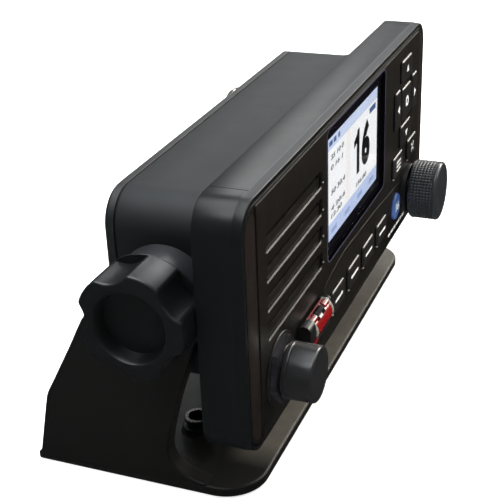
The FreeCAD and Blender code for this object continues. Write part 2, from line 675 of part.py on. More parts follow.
# ---------------------------------------------------------------- microphone socket
barrel = fuse(cyl("Y", d.mic_x, -46.8, d.mic_z, d.thread_radius, 5.3),
              cyl("Y", d.mic_x, -53.0, d.mic_z, d.nose_radius, 7),
              cyl("Y", d.mic_x, -41.9, d.mic_z, d.thread_radius + 1.2, 1.6),
              cyl("Y", d.mic_x, -40.4, d.mic_z, 5.0, 5.0))
barrel = cut(barrel, cyl("Y", d.mic_x, -54, d.mic_z, 4.8, 7.0))
node("mic_socket", barrel)
af = d.nut_flats / 2


def hexagon(cx, cz, flats_half):
    r = flats_half / math.cos(math.pi / 6)
    return [(cx + r * math.cos(math.radians(60 * i + 12)), cz + r * math.sin(math.radians(60 * i + 12))) for i in range(6)]


nut = prism_y(-46.5, -44.9, lambda sk: sk_poly(sk, hexagon(d.mic_x, d.mic_z, af)), "nut")
node("mic_nut", cut(nut, cyl("Y", d.mic_x, -48, d.mic_z, d.thread_radius + 0.03, 6)))
node("mic_washer", cut(cyl("Y", d.mic_x, -44.88, d.mic_z, d.seal_radius, 0.46),
                       cyl("Y", d.mic_x, -48, d.mic_z, d.thread_radius + 0.1, 6)))
cb = prism_y(d.cap_front, d.cap_back, lambda sk: sk_circle(sk, d.mic_x, d.mic_z, d.cap_radius), "cap")
cap_len = (d.cap_back - d.cap_front).v
round_body(cb, lambda e: flat_at(e, "y", -cap_len), 0.7)
node("mic_cap", cut(cb, cyl("Y", d.mic_x, d.cap_front + 1.6, d.mic_z, d.cap_bore, 12)))

# ---------------------------------------------------------------- distress cover
fr_left, fr_right = Q.of(-54.4), Q.of(-33.3)
fr = box(fr_left, fr_right, -44.95, -44.42, 31.9, 33.5)
lug_l = fuse(box(fr_left, -49.8, -46.9, -44.42, 31.9, 39.9), cyl("X", fr_left, d.pin_y, d.pin_z, 2.0, 4.6))
lug_r = fuse(box(-34.2, fr_right, -46.6, -44.42, 31.9, 39.9), cyl("X", -34.2, d.pin_y, d.pin_z, 1.3, 0.9))
node("distress_hinge", cut(fuse(fr, lug_l, lug_r), cyl("X", -53.6, d.pin_y, d.pin_z, d.pin_radius + 0.02, 25)))
node("distress_pin", cyl("X", -53.5, d.pin_y, d.pin_z, d.pin_radius, 20.1))


def half_round(r, x0, x1):
    whole = cyl("X", x0, d.lid_back, d.lid_mid_z, r, x1 - x0)
    keep = box(x0 - 1, x1 + 1, d.lid_back - 9, d.lid_back, d.lid_mid_z - 9, d.lid_mid_z + 9)
    return common(whole, keep)


w8 = d.lid_wall
outer = half_round(d.lid_radius, d.lid_left, d.lid_right)
inner = half_round(d.lid_radius - w8, d.lid_left + w8, d.lid_right - w8)
lip = box(d.lid_left, d.lid_right, d.lid_back - 2.4, d.lid_back, d.lid_mid_z - 4.4, d.lid_mid_z - 3.3)
shell = fuse(cut(outer, inner), lip)
relief = cyl("X", -45.4, d.pin_y, d.pin_z, 1.5, 6.8)
knuckle = fuse(cyl("X", d.lid_left, d.pin_y, d.pin_z, d.barrel_radius, 4.1),
               cyl("X", -38.6, d.pin_y, d.pin_z, d.barrel_radius, 4.1))
node("distress_cover", cut(fuse(cut(shell, relief), knuckle),
                           cyl("X", -52, d.pin_y, d.pin_z, d.pin_radius + 0.06, 20)))

# torsion spring: a close coil round the pin
coil = doc.addObject("Part::Feature", "distress_spring_coil")
helix = Part.makeHelix(0.5, 5.5, 1.0)
prof = Part.Wire([Part.makeCircle(0.15, Vector(1.0, 0, 0), Vector(0, 1, 0))])
coil.Shape = Part.Wire(helix.Edges).makePipeShell([prof], True, True)
coil.Placement = Placement(Vector(-44.75, d.pin_y.v, d.pin_z.v), TO_X)
bind(coil, "Placement.Base.y", d.pin_y)
bind(coil, "Placement.Base.z", d.pin_z)
node("distress_spring", coil)

# ---------------------------------------------------------------- chassis
ch = prism_y(bez_back + d.gasket, d.chassis_back,
             lambda sk: sk_rect(sk, -d.chassis_half, d.chassis_half, d.chassis_bot, d.chassis_top, d.chassis_corner),
             "chassis")
wl = d.chassis_wall
room = prism_y(bez_back - 1, d.chassis_back + 1,
               lambda sk: sk_rect(sk, -d.chassis_half + wl, d.chassis_half - wl, d.chassis_bot + wl,
                                  d.chassis_top - wl, d.chassis_corner - wl), "room")
boss = [cyl("X", -d.chassis_half + 1, d.axis_y, d.axis_z, 8.5, 8.5), cyl("X", d.chassis_half - 9.5, d.axis_y, d.axis_z, 8.5, 8.5)]
insert_r = Q.of(6.0)
RS = [(-65.2, 35.6), (65.2, 35.6), (-65.2, 76.0), (65.2, 76.0)]
boss += [cyl("Y", x, -13.0, z, 4.5, d.chassis_back + 13.0) for x, z in RS]
node("chassis_shell", cut(fuse(cut(ch, room), *boss), cyl("X", -90, d.axis_y, d.axis_z, insert_r, 180),
                          *[cyl("Y", x, -12.0, z, 1.5, 20) for x, z in RS]))


def insert(x0):
    return cut(cyl("X", x0, d.axis_y, d.axis_z, insert_r, 9.5),
               cyl("X", x0 - 1, d.axis_y, d.axis_z, bolt_hole_r, 12))


node("knob_inserts", group(insert(-d.chassis_half), insert(d.chassis_half - 9.5)))


def friction_washer(x0):
    return cut(cyl("X", x0, d.axis_y, d.axis_z, 10.5, 1.9),
               cyl("X", x0 - 1, d.axis_y, d.axis_z, 4.6, 4))


node("friction_washers", group(friction_washer(-d.chassis_half - 1.95), friction_washer(d.chassis_half + 0.05)))

gk = lambda sk: sk_rect(sk, -d.chassis_half + 0.4, d.chassis_half - 0.4, d.chassis_bot + 0.4, d.chassis_top - 0.4,
                        d.chassis_corner - 0.4)
gin = lambda sk: sk_rect(sk, -68, 68, d.chassis_bot + 4.2, d.chassis_top - 4.2, 6.0)
node("front_gasket", cut(prism_y(bez_back, bez_back + d.gasket, gk, "gasket"),
                         prism_y(bez_back - 1, bez_back + d.gasket + 1, gin, "gasket_in")))
node("rear_gasket", cut(prism_y(d.chassis_back, d.chassis_back + 0.6, gk, "gasket"),
                        prism_y(d.chassis_back - 1, d.chassis_back + 2, gin, "gasket_in"),
                        *[cyl("Y", x, -10.0, z, 1.6, 12) for x, z in RS]))

# rear cover: flat plate with vertical cooling fins
rear_front = d.chassis_back + 0.6
rc = prism_y(rear_front, d.rear_back,
             lambda sk: sk_rect(sk, -d.chassis_half, d.chassis_half, d.chassis_bot, d.chassis_top, d.chassis_corner),
             "rear")
rear_len = (d.rear_back - rear_front).v
round_body(rc, lambda e: flat_at(e, "y", 0.0), 1.1, "PartDesign::Chamfer")
fins = [box(x - 0.9, x + 0.9, d.rear_back - 0.5, d.rear_back + d.fin_depth, 40.0, 76.0)
        for x in (-30, -24, -18, -12, -6, 0, 6, 12)]
rear_holes = [cyl("Y", x, -10, z, 1.6, 20) for x, z in RS] + [cyl("Y", x, d.rear_back - 1.0, z, 3.25, 5) for x, z in RS]
gl_x = (Q.of(-50.0), Q.of(56.0))
rear_holes += [cyl("Y", gl_x[0], -10, 50.0, 5.0, 20), cyl("Y", gl_x[1], -10, 46.0, 4.0, 20)]
rear_holes += [cyl("Y", d.ant_x, -10, d.ant_z, 6.2, 20)]
node("rear_cover", cut(fuse(rc, *fins), *rear_holes))


def case_screw(x, z):
    s = fuse(cyl("Y", x, d.rear_back - 0.95, z, 3.0, 1.6), cyl("Y", x, -9.5, z, 1.5, d.rear_back + 9.0))
    return cut(s, cyl("Y", x, d.rear_back - 0.35, z, 1.3, 3))


node("case_screws", group(*[case_screw(x, z) for x, z in RS]))

# antenna socket: flange, threaded sleeve, insulator and centre contact
ant = fuse(prism_y(d.rear_back, d.rear_back + 1.6,
                   lambda sk: sk_rect(sk, d.ant_x - 9.6, d.ant_x + 9.6, d.ant_z - 9.6, d.ant_z + 9.6, 2.0), "flange"),
           cyl("Y", d.ant_x, d.rear_back, d.ant_z, d.ant_radius, d.ant_end - d.rear_back),
           cyl("Y", d.ant_x, -6.0, d.ant_z, 6.0, d.rear_back + 6.5))
node("antenna_socket", cut(ant, cyl("Y", d.ant_x, -7, d.ant_z, 5.4, 30)))
node("antenna_insulator", cut(cyl("Y", d.ant_x, -6, d.ant_z, 5.35, d.ant_end + 4.0),
                              cyl("Y", d.ant_x, -8, d.ant_z, 2.2, 30)))
node("antenna_contact", cut(cyl("Y", d.ant_x, -8.0, d.ant_z, 2.15, d.ant_end + 5.5),
                            cyl("Y", d.ant_x, 4.0, d.ant_z, 1.5, 30)))
AS = [(-7.6, -7.6), (7.6, -7.6), (-7.6, 7.6), (7.6, 7.6)]
node("antenna_screws", group(*[cyl("Y", d.ant_x + a, d.rear_back + 1.62, d.ant_z + b, 1.6, 1.0) for a, b in AS]))


def gland(x, z, r, bore, hexr):
    body = fuse(cyl("Y", x, -6.0, z, r, d.rear_back + 6.5), cyl("Y", x, d.rear_back, z, r + 2.0, 2.2),
                cone("Y", x, d.rear_back + 2.2, z, r + 1.2, r - 0.6, 6.0))
    return cut(body, cyl("Y", x, -8, z, bore, 30))


node("power_gland", gland(gl_x[0], Q.of(50.0), Q.of(4.95), 2.6, 0))
node("data_gland", gland(gl_x[1], Q.of(46.0), Q.of(3.95), 1.9, 0))

# boards and modules inside the chassis
node("main_board", box(-60, 60, -12.2, -10.6, 33.0, 79.0))
node("power_module", box(-20, 22, -10.5, -2.8, 40.0, 62.0))

# ---------------------------------------------------------------- knobs


def knob(side):
    """A moulded knob: five lobes, a dish in the face, padded along X away from the radio."""
    b = new_body("knob")
    sk = sketch_on(b, "YZ_Plane")
    sk_circle(sk, 0, 0, d.knob_radius)
    pad(b, sk, d.knob_front - d.knob_back)
    # the scallops leave a thin round disc at the knob's back
    s2 = sketch_on(b, "YZ_Plane")
    s2.AttachmentOffset = FreeCAD.Placement(Vector(0, 0, d.knob_rim.v), Rotation())
    s2.setExpression("AttachmentOffset.Base.z", d.knob_rim.t)
    a = math.radians(d.scallop_angle.v)
    sk_circle(s2, d.scallop_centre * math.cos(a), d.scallop_centre * math.sin(a), d.scallop_radius)
    pk = pocket(b, s2, d.knob_front - d.knob_back + 1, reverse=True)
    doc.recompute()
    full = math.pi * d.knob_radius.v ** 2 * (d.knob_front - d.knob_back).v
    if pk.Shape.Volume > full * 0.995:
        raise RuntimeError("scallop cuts nothing")
    pp = b.newObject("PartDesign::PolarPattern", uid("scallops"))
    pp.Originals = [pk]
    pp.Axis = (sk, ["N_Axis"])
    pp.Angle = 360
    pp.Occurrences = 5
    b.Tip = pp
    doc.recompute()
    front = (d.knob_front - d.knob_back).v
    round_body(b, lambda e: flat_at(e, "x", front), 0.8)
    if side > 0:
        place(b, d.knob_back, d.axis_y, d.axis_z)
    else:
        # turned half a turn about Z, so the same moulding faces left
        place(b, -d.knob_back, d.axis_y, d.axis_z, Rotation(Vector(0, 0, 1), 180))
    return b


def knob_parts(side, name):
    b = knob(side)
    f = d.knob_front
    dish_x = (f - d.dish_depth) if side > 0 else -f - 1
    bolt_x0 = Q.of(66.5) if side > 0 else Q.of(-92.0)
    dish = cyl("X", dish_x, d.axis_y, d.axis_z, d.dish_radius, d.dish_depth + 1)
    hole = cyl("X", bolt_x0, d.axis_y, d.axis_z, d.bolt_radius, 25.5)
    node(name + "_grip", cut(b, dish, hole))
    node(name + "_bolt", cyl("X", bolt_x0, d.axis_y, d.axis_z, d.bolt_radius, 25.5))
    wx = d.ear_outer + 0.15 if side > 0 else -d.ear_outer - 0.15 - d.washer_thick
    node(name + "_washer", cut(cyl("X", wx, d.axis_y, d.axis_z, 9.0, d.washer_thick),
                               cyl("X", wx - 1, d.axis_y, d.axis_z, d.bolt_radius + 0.01, 3)))


knob_parts(-1, "left_knob")
knob_parts(1, "right_knob")

# ---------------------------------------------------------------- check and write
doc.recompute()
bad = [o.Label for o in doc.Objects if "Invalid" in o.State or "Error" in o.State]
if bad:
    raise RuntimeError("failed objects: %s" % bad)
for name, o in NODES.items():
    s = o.Shape
    if s.isNull() or not s.isValid() or not s.Solids:
        raise RuntimeError("bad shape: " + name)

bb = NODES["front_bezel"].Shape.BoundBox
assert abs(bb.YMin - d.face_y.v) < 1e-6 and abs(bb.YMax - (d.face_y + d.bezel_depth).v) < 1e-6
assert abs(NODES["left_knob_grip"].Shape.BoundBox.XMin + d.knob_front.v) < 1e-6

os.makedirs("parts", exist_ok=True)
for old in os.listdir("parts"):
    if old.endswith(".step") and old[:-5] not in NODES:
        os.remove(os.path.join("parts", old))
total = 0.0
for name, o in NODES.items():
    o.Shape.exportStep("parts/%s.step" % name)
    total += o.Shape.Volume
print("nodes", len(NODES), "volume cm3", round(total / 1000.0, 2))
for name, o in NODES.items():
    b = o.Shape.BoundBox
    print("%-20s solids %d  x %.2f..%.2f  y %.2f..%.2f  z %.2f..%.2f" % (
        name, len(o.Shape.Solids), b.XMin, b.XMax, b.YMin, b.YMax, b.ZMin, b.ZMax))
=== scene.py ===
import math

import bmesh
import bpy
from mathutils import Matrix, Vector


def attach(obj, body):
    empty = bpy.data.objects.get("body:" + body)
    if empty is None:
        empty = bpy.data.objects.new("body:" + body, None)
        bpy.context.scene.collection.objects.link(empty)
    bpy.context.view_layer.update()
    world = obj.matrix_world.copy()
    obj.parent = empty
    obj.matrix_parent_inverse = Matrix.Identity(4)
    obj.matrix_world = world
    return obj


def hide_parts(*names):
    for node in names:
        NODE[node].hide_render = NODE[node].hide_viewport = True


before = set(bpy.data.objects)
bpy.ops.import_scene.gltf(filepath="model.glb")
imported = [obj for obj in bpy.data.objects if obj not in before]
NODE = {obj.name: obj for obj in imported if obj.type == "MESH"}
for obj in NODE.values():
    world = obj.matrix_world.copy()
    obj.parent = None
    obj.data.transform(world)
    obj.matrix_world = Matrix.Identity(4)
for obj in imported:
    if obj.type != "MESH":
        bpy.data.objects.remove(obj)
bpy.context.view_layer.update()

MM = 0.001
scene = bpy.context.scene


# ------------------------------------------------------------------ mesh tools (all sizes in millimetres)
def new_obj(name, verts, faces):
    me = bpy.data.meshes.new(name)
    me.from_pydata([(x * MM, y * MM, z * MM) for x, y, z in verts], [], faces)
    me.validate()
    me.update()
    ob = bpy.data.objects.new(name, me)
    scene.collection.objects.link(ob)
    return ob


def outward(ob):
    bm = bmesh.new()
    bm.from_mesh(ob.data)
    bmesh.ops.recalc_face_normals(bm, faces=bm.faces)
    bm.to_mesh(ob.data)
    bm.free()
    ob.data.update()
    return ob


def bake(ob):
    """Applies the object's modifiers to its mesh."""
    bpy.context.view_layer.update()
    dg = bpy.context.evaluated_depsgraph_get()
    me = bpy.data.meshes.new_from_object(ob.evaluated_get(dg))
    ob.modifiers.clear()
    old = ob.data
    ob.data = me
    bpy.data.meshes.remove(old)
    me.name = ob.name
    return ob


def loft(name, rings, cap=True, closed=False):
    n, m = len(rings[0]), len(rings)
    verts = [p for r in rings for p in r]
    faces = []
    for i in range(m if closed else m - 1):
        a, b = i * n, ((i + 1) % m) * n
        for j in range(n):
            k = (j + 1) % n
            faces.append((a + j, a + k, b + k, b + j))
    if cap and not closed:
        faces.append(tuple(range(n))[::-1])
        faces.append(tuple((m - 1) * n + j for j in range(n)))
    return outward(new_obj(name, verts, faces))


def rrect(a0, a1, b0, b1, r, n=8):
    r = max(0.02, min(r, (a1 - a0) / 2 - 0.001, (b1 - b0) / 2 - 0.001))
    pts = []
    for ca, cb, s in ((a1 - r, b0 + r, -90), (a1 - r, b1 - r, 0), (a0 + r, b1 - r, 90), (a0 + r, b0 + r, 180)):
        for i in range(n + 1):
            t = math.radians(s + 90.0 * i / n)
            pts.append((ca + r * math.cos(t), cb + r * math.sin(t)))
    return pts


def at(axis, t, pts):
    if axis == "y":
        return [(a, t, b) for a, b in pts]
    if axis == "x":
        return [(t, a, b) for a, b in pts]
    return [(a, b, t) for a, b in pts]


def rr_loft(name, axis, a0, a1, b0, b1, r, prof, n=8, closed=False):
    """Rounded-rectangle sections along an axis; prof is [(inset, position), ...]."""
    rings = [at(axis, t, rrect(a0 + i, a1 - i, b0 + i, b1 - i, r - i, n)) for i, t in prof]
    return loft(name, rings, closed=closed)


def fillet(i0, t0, i1, t1, n=5, hollow=False):
    """Quarter-round profile points between two (inset, position) points."""
    out = []
    for k in range(n + 1):
        a = math.pi / 2 * k / n
        if hollow:
            out.append((i0 + (i1 - i0) * (1 - math.cos(a)), t0 + (t1 - t0) * math.sin(a)))
        else:
            out.append((i0 + (i1 - i0) * math.sin(a), t0 + (t1 - t0) * (1 - math.cos(a))))
    return out


def lathe(name, axis, c, prof, n=64, closed=False, shape=None):
    """Turned solid: prof is [(position, radius), ...]; c is the other two coordinates of the axis."""
    verts, rows = [], []
    for t, r in prof:
        if r <= 1e-6:
            rows.append([len(verts)])
            verts += at(axis, t, [c])
        else:
            rows.append(list(range(len(verts), len(verts) + n)))
            pts = []
            for j in range(n):
                a = 2 * math.pi * j / n
                rr = r if shape is None else shape(t, r, a)
                pts.append((c[0] + rr * math.cos(a), c[1] + rr * math.sin(a)))
            verts += at(axis, t, pts)
    faces = []
    m = len(rows)
    for i in range(m if closed else m - 1):
        A, B = rows[i], rows[(i + 1) % m]
        if len(A) == 1 and len(B) == 1:
            continue
        for j in range(n):
            k = (j + 1) % n
            if len(A) == 1:
                faces.append((A[0], B[k], B[j]))
            elif len(B) == 1:
                faces.append((A[j], A[k], B[0]))
            else:
                faces.append((A[j], A[k], B[k], B[j]))
    if not closed:
        for row in (rows[0], rows[-1]):
            if len(row) > 1:
                faces.append(tuple(row))
    return outward(new_obj(name, verts, faces))


def prism(name, axis, t0, t1, pts):
    return loft(name, [at(axis, t0, pts), at(axis, t1, pts)])


def block(name, x0, x1, y0, y1, z0, z1):
    return prism(name, "z", z0, z1, [(x0, y0), (x1, y0), (x1, y1), (x0, y1)])


def boolean(ob, tools, op="DIFFERENCE"):
    for k, t in enumerate(tools):
        m = ob.modifiers.new("bool%d" % k, "BOOLEAN")
        m.operation, m.solver, m.object = op, "EXACT", t
    bake(ob)
    for t in tools:
        me = t.data
        bpy.data.objects.remove(t)
        bpy.data.meshes.remove(me)
    return ob


def weld(ob, dist=0.004):
    bm = bmesh.new()
    bm.from_mesh(ob.data)
    bmesh.ops.remove_doubles(bm, verts=bm.verts, dist=dist * MM)
    bmesh.ops.dissolve_degenerate(bm, dist=dist * MM * 0.5, edges=bm.edges)
    bm.to_mesh(ob.data)
    bm.free()
    ob.data.update()
    return ob


def bevel(ob, width, seg=3, angle=35, profile=0.5):
    m = ob.modifiers.new("bevel", "BEVEL")
    m.width, m.segments, m.limit_method, m.angle_limit = width * MM, seg, "ANGLE", math.radians(angle)
    m.profile, m.use_clamp_overlap, m.miter_outer = profile, True, "MITER_ARC"
    return bake(ob)


def join(name, obs):
    """Joins objects into one mesh, keeping their materials."""
    mats, verts, faces, idx, smooth = [], [], [], [], []
    for o in obs:
        base = len(verts)
        remap = []
        for ms in (list(o.data.materials) or [None]):
            if ms not in mats:
                mats.append(ms)
            remap.append(mats.index(ms))
        verts += [tuple((o.matrix_world @ v.co)[:]) for v in o.data.vertices]
        for p in o.data.polygons:
            faces.append(tuple(base + v for v in p.vertices))
            idx.append(remap[min(p.material_index, len(remap) - 1)])
    me = bpy.data.meshes.new(name)
    me.from_pydata(verts, [], faces)
    for m in mats:
        me.materials.append(m)
    for p, i in zip(me.polygons, idx):
        p.material_index = i
    me.update()
    ob = bpy.data.objects.new(name, me)
    scene.collection.objects.link(ob)
    for o in obs:
        d = o.data
        bpy.data.objects.remove(o)
        if d.users == 0:
            bpy.data.meshes.remove(d)
    return ob


def paint(ob, mat):
    ob.data.materials.clear()
    ob.data.materials.append(mat)
    return ob


def piece(ob, body, stands_for=(), mat=None, sharp=38, weighted=True):
    """Shades an object and makes it ride on its body."""
    if mat is not None:
        paint(ob, mat)
    for p in ob.data.polygons:
        p.use_smooth = True
    ob.data.set_sharp_from_angle(angle=math.radians(sharp))
    if weighted:
        m = ob.modifiers.new("normals", "WEIGHTED_NORMAL")
        m.mode, m.weight, m.keep_sharp = "FACE_AREA", 60, True
        bake(ob)
    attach(ob, body)
    if stands_for:
        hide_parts(*stands_for)
    return ob


def spline(pts, k=6, closed=False):
    """Catmull-Rom through 2D points."""
    out = []
    n = len(pts)
    for i in range(n if closed else n - 1):
        g = (lambda j: pts[j % n]) if closed else (lambda j: pts[max(0, min(n - 1, j))])
        p0, p1, p2, p3 = g(i - 1), g(i), g(i + 1), g(i + 2)
        for s in range(k):
            t = s / k
            out.append(tuple(0.5 * (2 * p1[c] + (p2[c] - p0[c]) * t + (2 * p0[c] - 5 * p1[c] + 4 * p2[c] - p3[c]) * t * t
                                    + (3 * p1[c] - p0[c] - 3 * p2[c] + p3[c]) * t ** 3) for c in (0, 1)))
    if not closed:
        out.append(tuple(pts[-1]))
    return out


# ------------------------------------------------------------------ materials
def srgb(r, g, b):
    f = lambda c: (c / 255.0 / 12.92) if c <= 10.31475 else ((c / 255.0 + 0.055) / 1.055) ** 2.4
    return (f(r), f(g), f(b), 1.0)


class Mat:
    """A node material in the making; positions come from the object's own coordinates, in metres."""

    def __init__(self, name):
        self.m = bpy.data.materials.new(name)
        self.m.use_nodes = True
        self.nt = self.m.node_tree
        self.nt.nodes.clear()
        self.out = self.add("ShaderNodeOutputMaterial")
        self.b = self.add("ShaderNodeBsdfPrincipled")
        self.link(self.b.outputs[0], self.out.inputs[0])
        self.coord = self.add("ShaderNodeTexCoord").outputs["Object"]

    def add(self, kind, **kw):
        n = self.nt.nodes.new(kind)
        for k, v in kw.items():
            setattr(n, k, v)
        return n

    def link(self, a, b):
        self.nt.links.new(a, b)

    def noise(self, feature_mm, detail=3.0, rough=0.55, stretch=None, distort=0.0):
        n = self.add("ShaderNodeTexNoise")
        n.inputs["Scale"].default_value = 1000.0 / feature_mm
        n.inputs["Detail"].default_value = detail
        n.inputs["Roughness"].default_value = rough
        n.inputs["Distortion"].default_value = distort
        if stretch:
            mp = self.add("ShaderNodeMapping")
            mp.inputs["Scale"].default_value = stretch
            self.link(self.coord, mp.inputs[0])
            self.link(mp.outputs[0], n.inputs["Vector"])
        else:
            self.link(self.coord, n.inputs["Vector"])
        return n.outputs[0]

    def cells(self, feature_mm, feature="F1"):
        n = self.add("ShaderNodeTexVoronoi", feature=feature)
        n.inputs["Scale"].default_value = 1000.0 / feature_mm
        self.link(self.coord, n.inputs["Vector"])
        return n.outputs["Distance"]

    def span(self, sock, lo, hi, a=0.35, b=0.65):
        n = self.add("ShaderNodeMapRange")
        n.inputs["From Min"].default_value, n.inputs["From Max"].default_value = a, b
        n.inputs["To Min"].default_value, n.inputs["To Max"].default_value = lo, hi
        self.link(sock, n.inputs["Value"])
        return n.outputs[0]

    def math(self, op, x, y):
        n = self.add("ShaderNodeMath", operation=op)
        for i, v in enumerate((x, y)):
            if isinstance(v, (int, float)):
                n.inputs[i].default_value = v
            else:
                self.link(v, n.inputs[i])
        return n.outputs[0]

    def mix(self, fac, c1, c2):
        n = self.add("ShaderNodeMix", data_type="RGBA")
        for sock, v in ((n.inputs["Factor"], fac), (n.inputs[6], c1), (n.inputs[7], c2)):
            if isinstance(v, (int, float)):
                sock.default_value = v
            elif isinstance(v, tuple):
                sock.default_value = v
            else:
                self.link(v, sock)
        return n.outputs[2]

    def bump(self, height, dist_mm, strength=1.0, prev=None):
        n = self.add("ShaderNodeBump")
        n.inputs["Distance"].default_value = dist_mm * MM
        n.inputs["Strength"].default_value = strength
        self.link(height, n.inputs["Height"])
        if prev is not None:
            self.link(prev, n.inputs["Normal"])
        return n.outputs[0]

    def edges(self, lo=0.52, hi=0.62):
        g = self.add("ShaderNodeNewGeometry")
        return self.span(g.outputs["Pointiness"], 0.0, 1.0, lo, hi)


def shade(c, k):
    return (c[0] * k, c[1] * k, c[2] * k, 1.0)


def moulded(name, col, rough=0.5, spec=0.5, grain=0.35, depth=0.012, vary=0.07, rvar=0.025, wear=0.0, patch=9.0,
            coat=0.0, scratch=0.0, sheen=0.0, ior=1.5):
    """Moulded or painted surface: fine grain, a soft change of tone, light wear on edges."""
    M = Mat(name)
    b = M.b
    big = M.noise(patch, 4.0, 0.6)
    fine = M.noise(grain, 2.0, 0.6)
    c = M.mix(M.span(big, 0.0, 1.0), shade(col, 1 - vary), shade(col, 1 + vary))
    c = M.mix(M.span(fine, 0.0, 0.35, 0.3, 0.7), c, shade(col, 1.45))
    if wear:
        worn = M.math("MULTIPLY", M.edges(), M.span(M.noise(3.0, 5.0, 0.7), 0.1, 1.0, 0.4, 0.62))
        c = M.mix(M.math("MULTIPLY", worn, wear), c, shade(col, 4.5))
    M.link(c, b.inputs["Base Color"])
    r = M.span(M.noise(patch * 0.45, 5.0, 0.65), rough - rvar, rough + rvar, 0.3, 0.7)
    if scratch:
        s = M.noise(0.9, 2.0, 0.5, stretch=(0.12, 1.0, 1.6))
        r = M.math("SUBTRACT", r, M.span(s, 0.0, scratch, 0.6, 0.72))
    M.link(r, b.inputs["Roughness"])
    b.inputs["Specular IOR Level"].default_value = spec
    b.inputs["IOR"].default_value = ior
    if coat:
        b.inputs["Coat Weight"].default_value = coat
        b.inputs["Coat Roughness"].default_value = 0.08
    if sheen:
        b.inputs["Sheen Weight"].default_value = sheen
        b.inputs["Sheen Roughness"].default_value = 0.4
    n1 = M.bump(fine, depth, 0.8)
    n2 = M.bump(M.noise(grain * 5.0, 2.0, 0.5), depth * 1.6, 0.35, n1)
    M.link(n2, b.inputs["Normal"])
    return M.m


def metal(name, col, rough=0.3, rvar=0.08, feature=0.5, stretch=(1, 1, 1), depth=0.006, tarnish=0.15):
    M = Mat(name)
    b = M.b
    b.inputs["Metallic"].default_value = 1.0
    big = M.noise(2.5, 4.0, 0.6)
    M.link(M.mix(M.span(big, 0.0, 1.0), shade(col, 1 - tarnish), shade(col, 1 + tarnish * 0.4)), b.inputs["Base Color"])
    lines = M.noise(feature, 3.0, 0.6, stretch=stretch)
    M.link(M.span(lines, rough - rvar, rough + rvar, 0.3, 0.7), b.inputs["Roughness"])
    M.link(M.bump(lines, depth, 0.6), b.inputs["Normal"])
    return M.m


def glow(name, col, strength, rough=0.35, mottle=0.03):
    """Lit area of the display: light through a fine pixel grid."""
    M = Mat(name)
    b = M.b
    g = M.noise(6.0, 2.0, 0.5)
    c = M.mix(M.span(g, 0.0, 1.0), shade(col, 1 - mottle), shade(col, 1 + mottle))
    M.link(c, b.inputs["Emission Color"])
    b.inputs["Base Color"].default_value = (0.02, 0.02, 0.02, 1)
    b.inputs["Emission Strength"].default_value = strength
    wave = M.add("ShaderNodeTexWave", wave_type="BANDS", bands_direction="X")
    wave.inputs["Scale"].default_value = 1000.0 / 0.35 / 6.2832 * 3.1416
    M.link(M.coord, wave.inputs["Vector"])
    M.link(M.span(wave.outputs["Fac"], rough - 0.03, rough + 0.03, 0, 1), b.inputs["Roughness"])
    return M.m


BLACK = srgb(30, 31, 32)
M_BRACKET = moulded("bracket_plastic", srgb(17, 17, 15), rough=0.50, spec=0.40, grain=0.42, depth=0.016, wear=0.25, patch=14)
# the ears are the bracket's own plastic painted lighter than the side plates: painted light for the highlight their
# tops catch
M_EAR_PAINTED_LIGHTER = moulded("bracket_ear_painted_lighter", srgb(36, 38, 41), rough=0.36, spec=1.0, grain=0.42, depth=0.012, wear=0.25, patch=14)
M_CHASSIS = moulded("chassis_paint", srgb(18, 21, 24), rough=0.62, spec=0.50, grain=0.30, depth=0.012, wear=0.15, patch=18)
M_BEZEL = moulded("bezel_plastic", srgb(16, 18, 19), rough=0.36, spec=0.34, grain=0.28, depth=0.007, wear=0.20, patch=16)
M_PLATE = moulded("panel_plastic", srgb(23, 20, 17), rough=0.42, spec=0.23, grain=0.25, depth=0.006, wear=0.45, patch=12)
# the border strips are the panel plastic painted lighter and browner: painted light on the crowned strips
M_SIDESTRIP_PAINTED_LIGHT = moulded("side_strip", srgb(32, 26, 22), rough=0.38, spec=0.50, grain=0.25, depth=0.006, wear=0.45, patch=12)
# near-black for the side walls of the keys: painted shade
M_KEYSIDE_PAINTED_SHADE = moulded("key_side_painted_shade", srgb(8, 7, 7), rough=0.65, spec=0.20, grain=0.20, depth=0.005, patch=4)
M_KEY = moulded("key_plastic", srgb(35, 32, 31), rough=0.32, spec=0.60, grain=0.20, depth=0.005, wear=0.7, patch=4)
M_KNOB = moulded("knob_plastic", srgb(17, 18, 19), rough=0.36, spec=0.58, grain=0.30, depth=0.010, wear=0.35, patch=7)
M_DIAL = moulded("dial_plastic", srgb(41, 43, 46), rough=0.30, spec=0.85, grain=0.20, depth=0.006, wear=0.6, patch=5)
M_CAP = moulded("cap_rubber", srgb(33, 33, 34), rough=0.31, spec=1.0, grain=0.30, depth=0.010, wear=0.15, patch=5)
M_REAR = moulded("rear_paint", srgb(23, 24, 25), rough=0.50, spec=0.45, grain=0.35, depth=0.014, wear=0.35, patch=12)
M_RUBBER = moulded("rubber_black", srgb(24, 24, 24), rough=0.70, spec=0.30, grain=0.40, depth=0.012, patch=4)
M_DARK = moulded("frame_black", srgb(22, 22, 23), rough=0.40, spec=0.50, grain=0.25, depth=0.006, wear=0.4, patch=4)
M_WHITE = moulded("print_white", srgb(225, 224, 220), rough=0.55, spec=0.4, grain=0.15, depth=0.002, vary=0.04, patch=1.5)
# pale grey for the studs at the grille channels' ends: painted highlight
M_CHANNEL_END_HIGHLIGHT = moulded("channel_end_highlight_grey", srgb(150, 147, 138), rough=0.45, spec=0.5, grain=0.2, depth=0.004, vary=0.08, patch=2)
M_NUT = moulded("nut_dark", srgb(30, 29, 32), rough=0.32, spec=0.7, grain=0.25, depth=0.006, wear=0.6, patch=4)
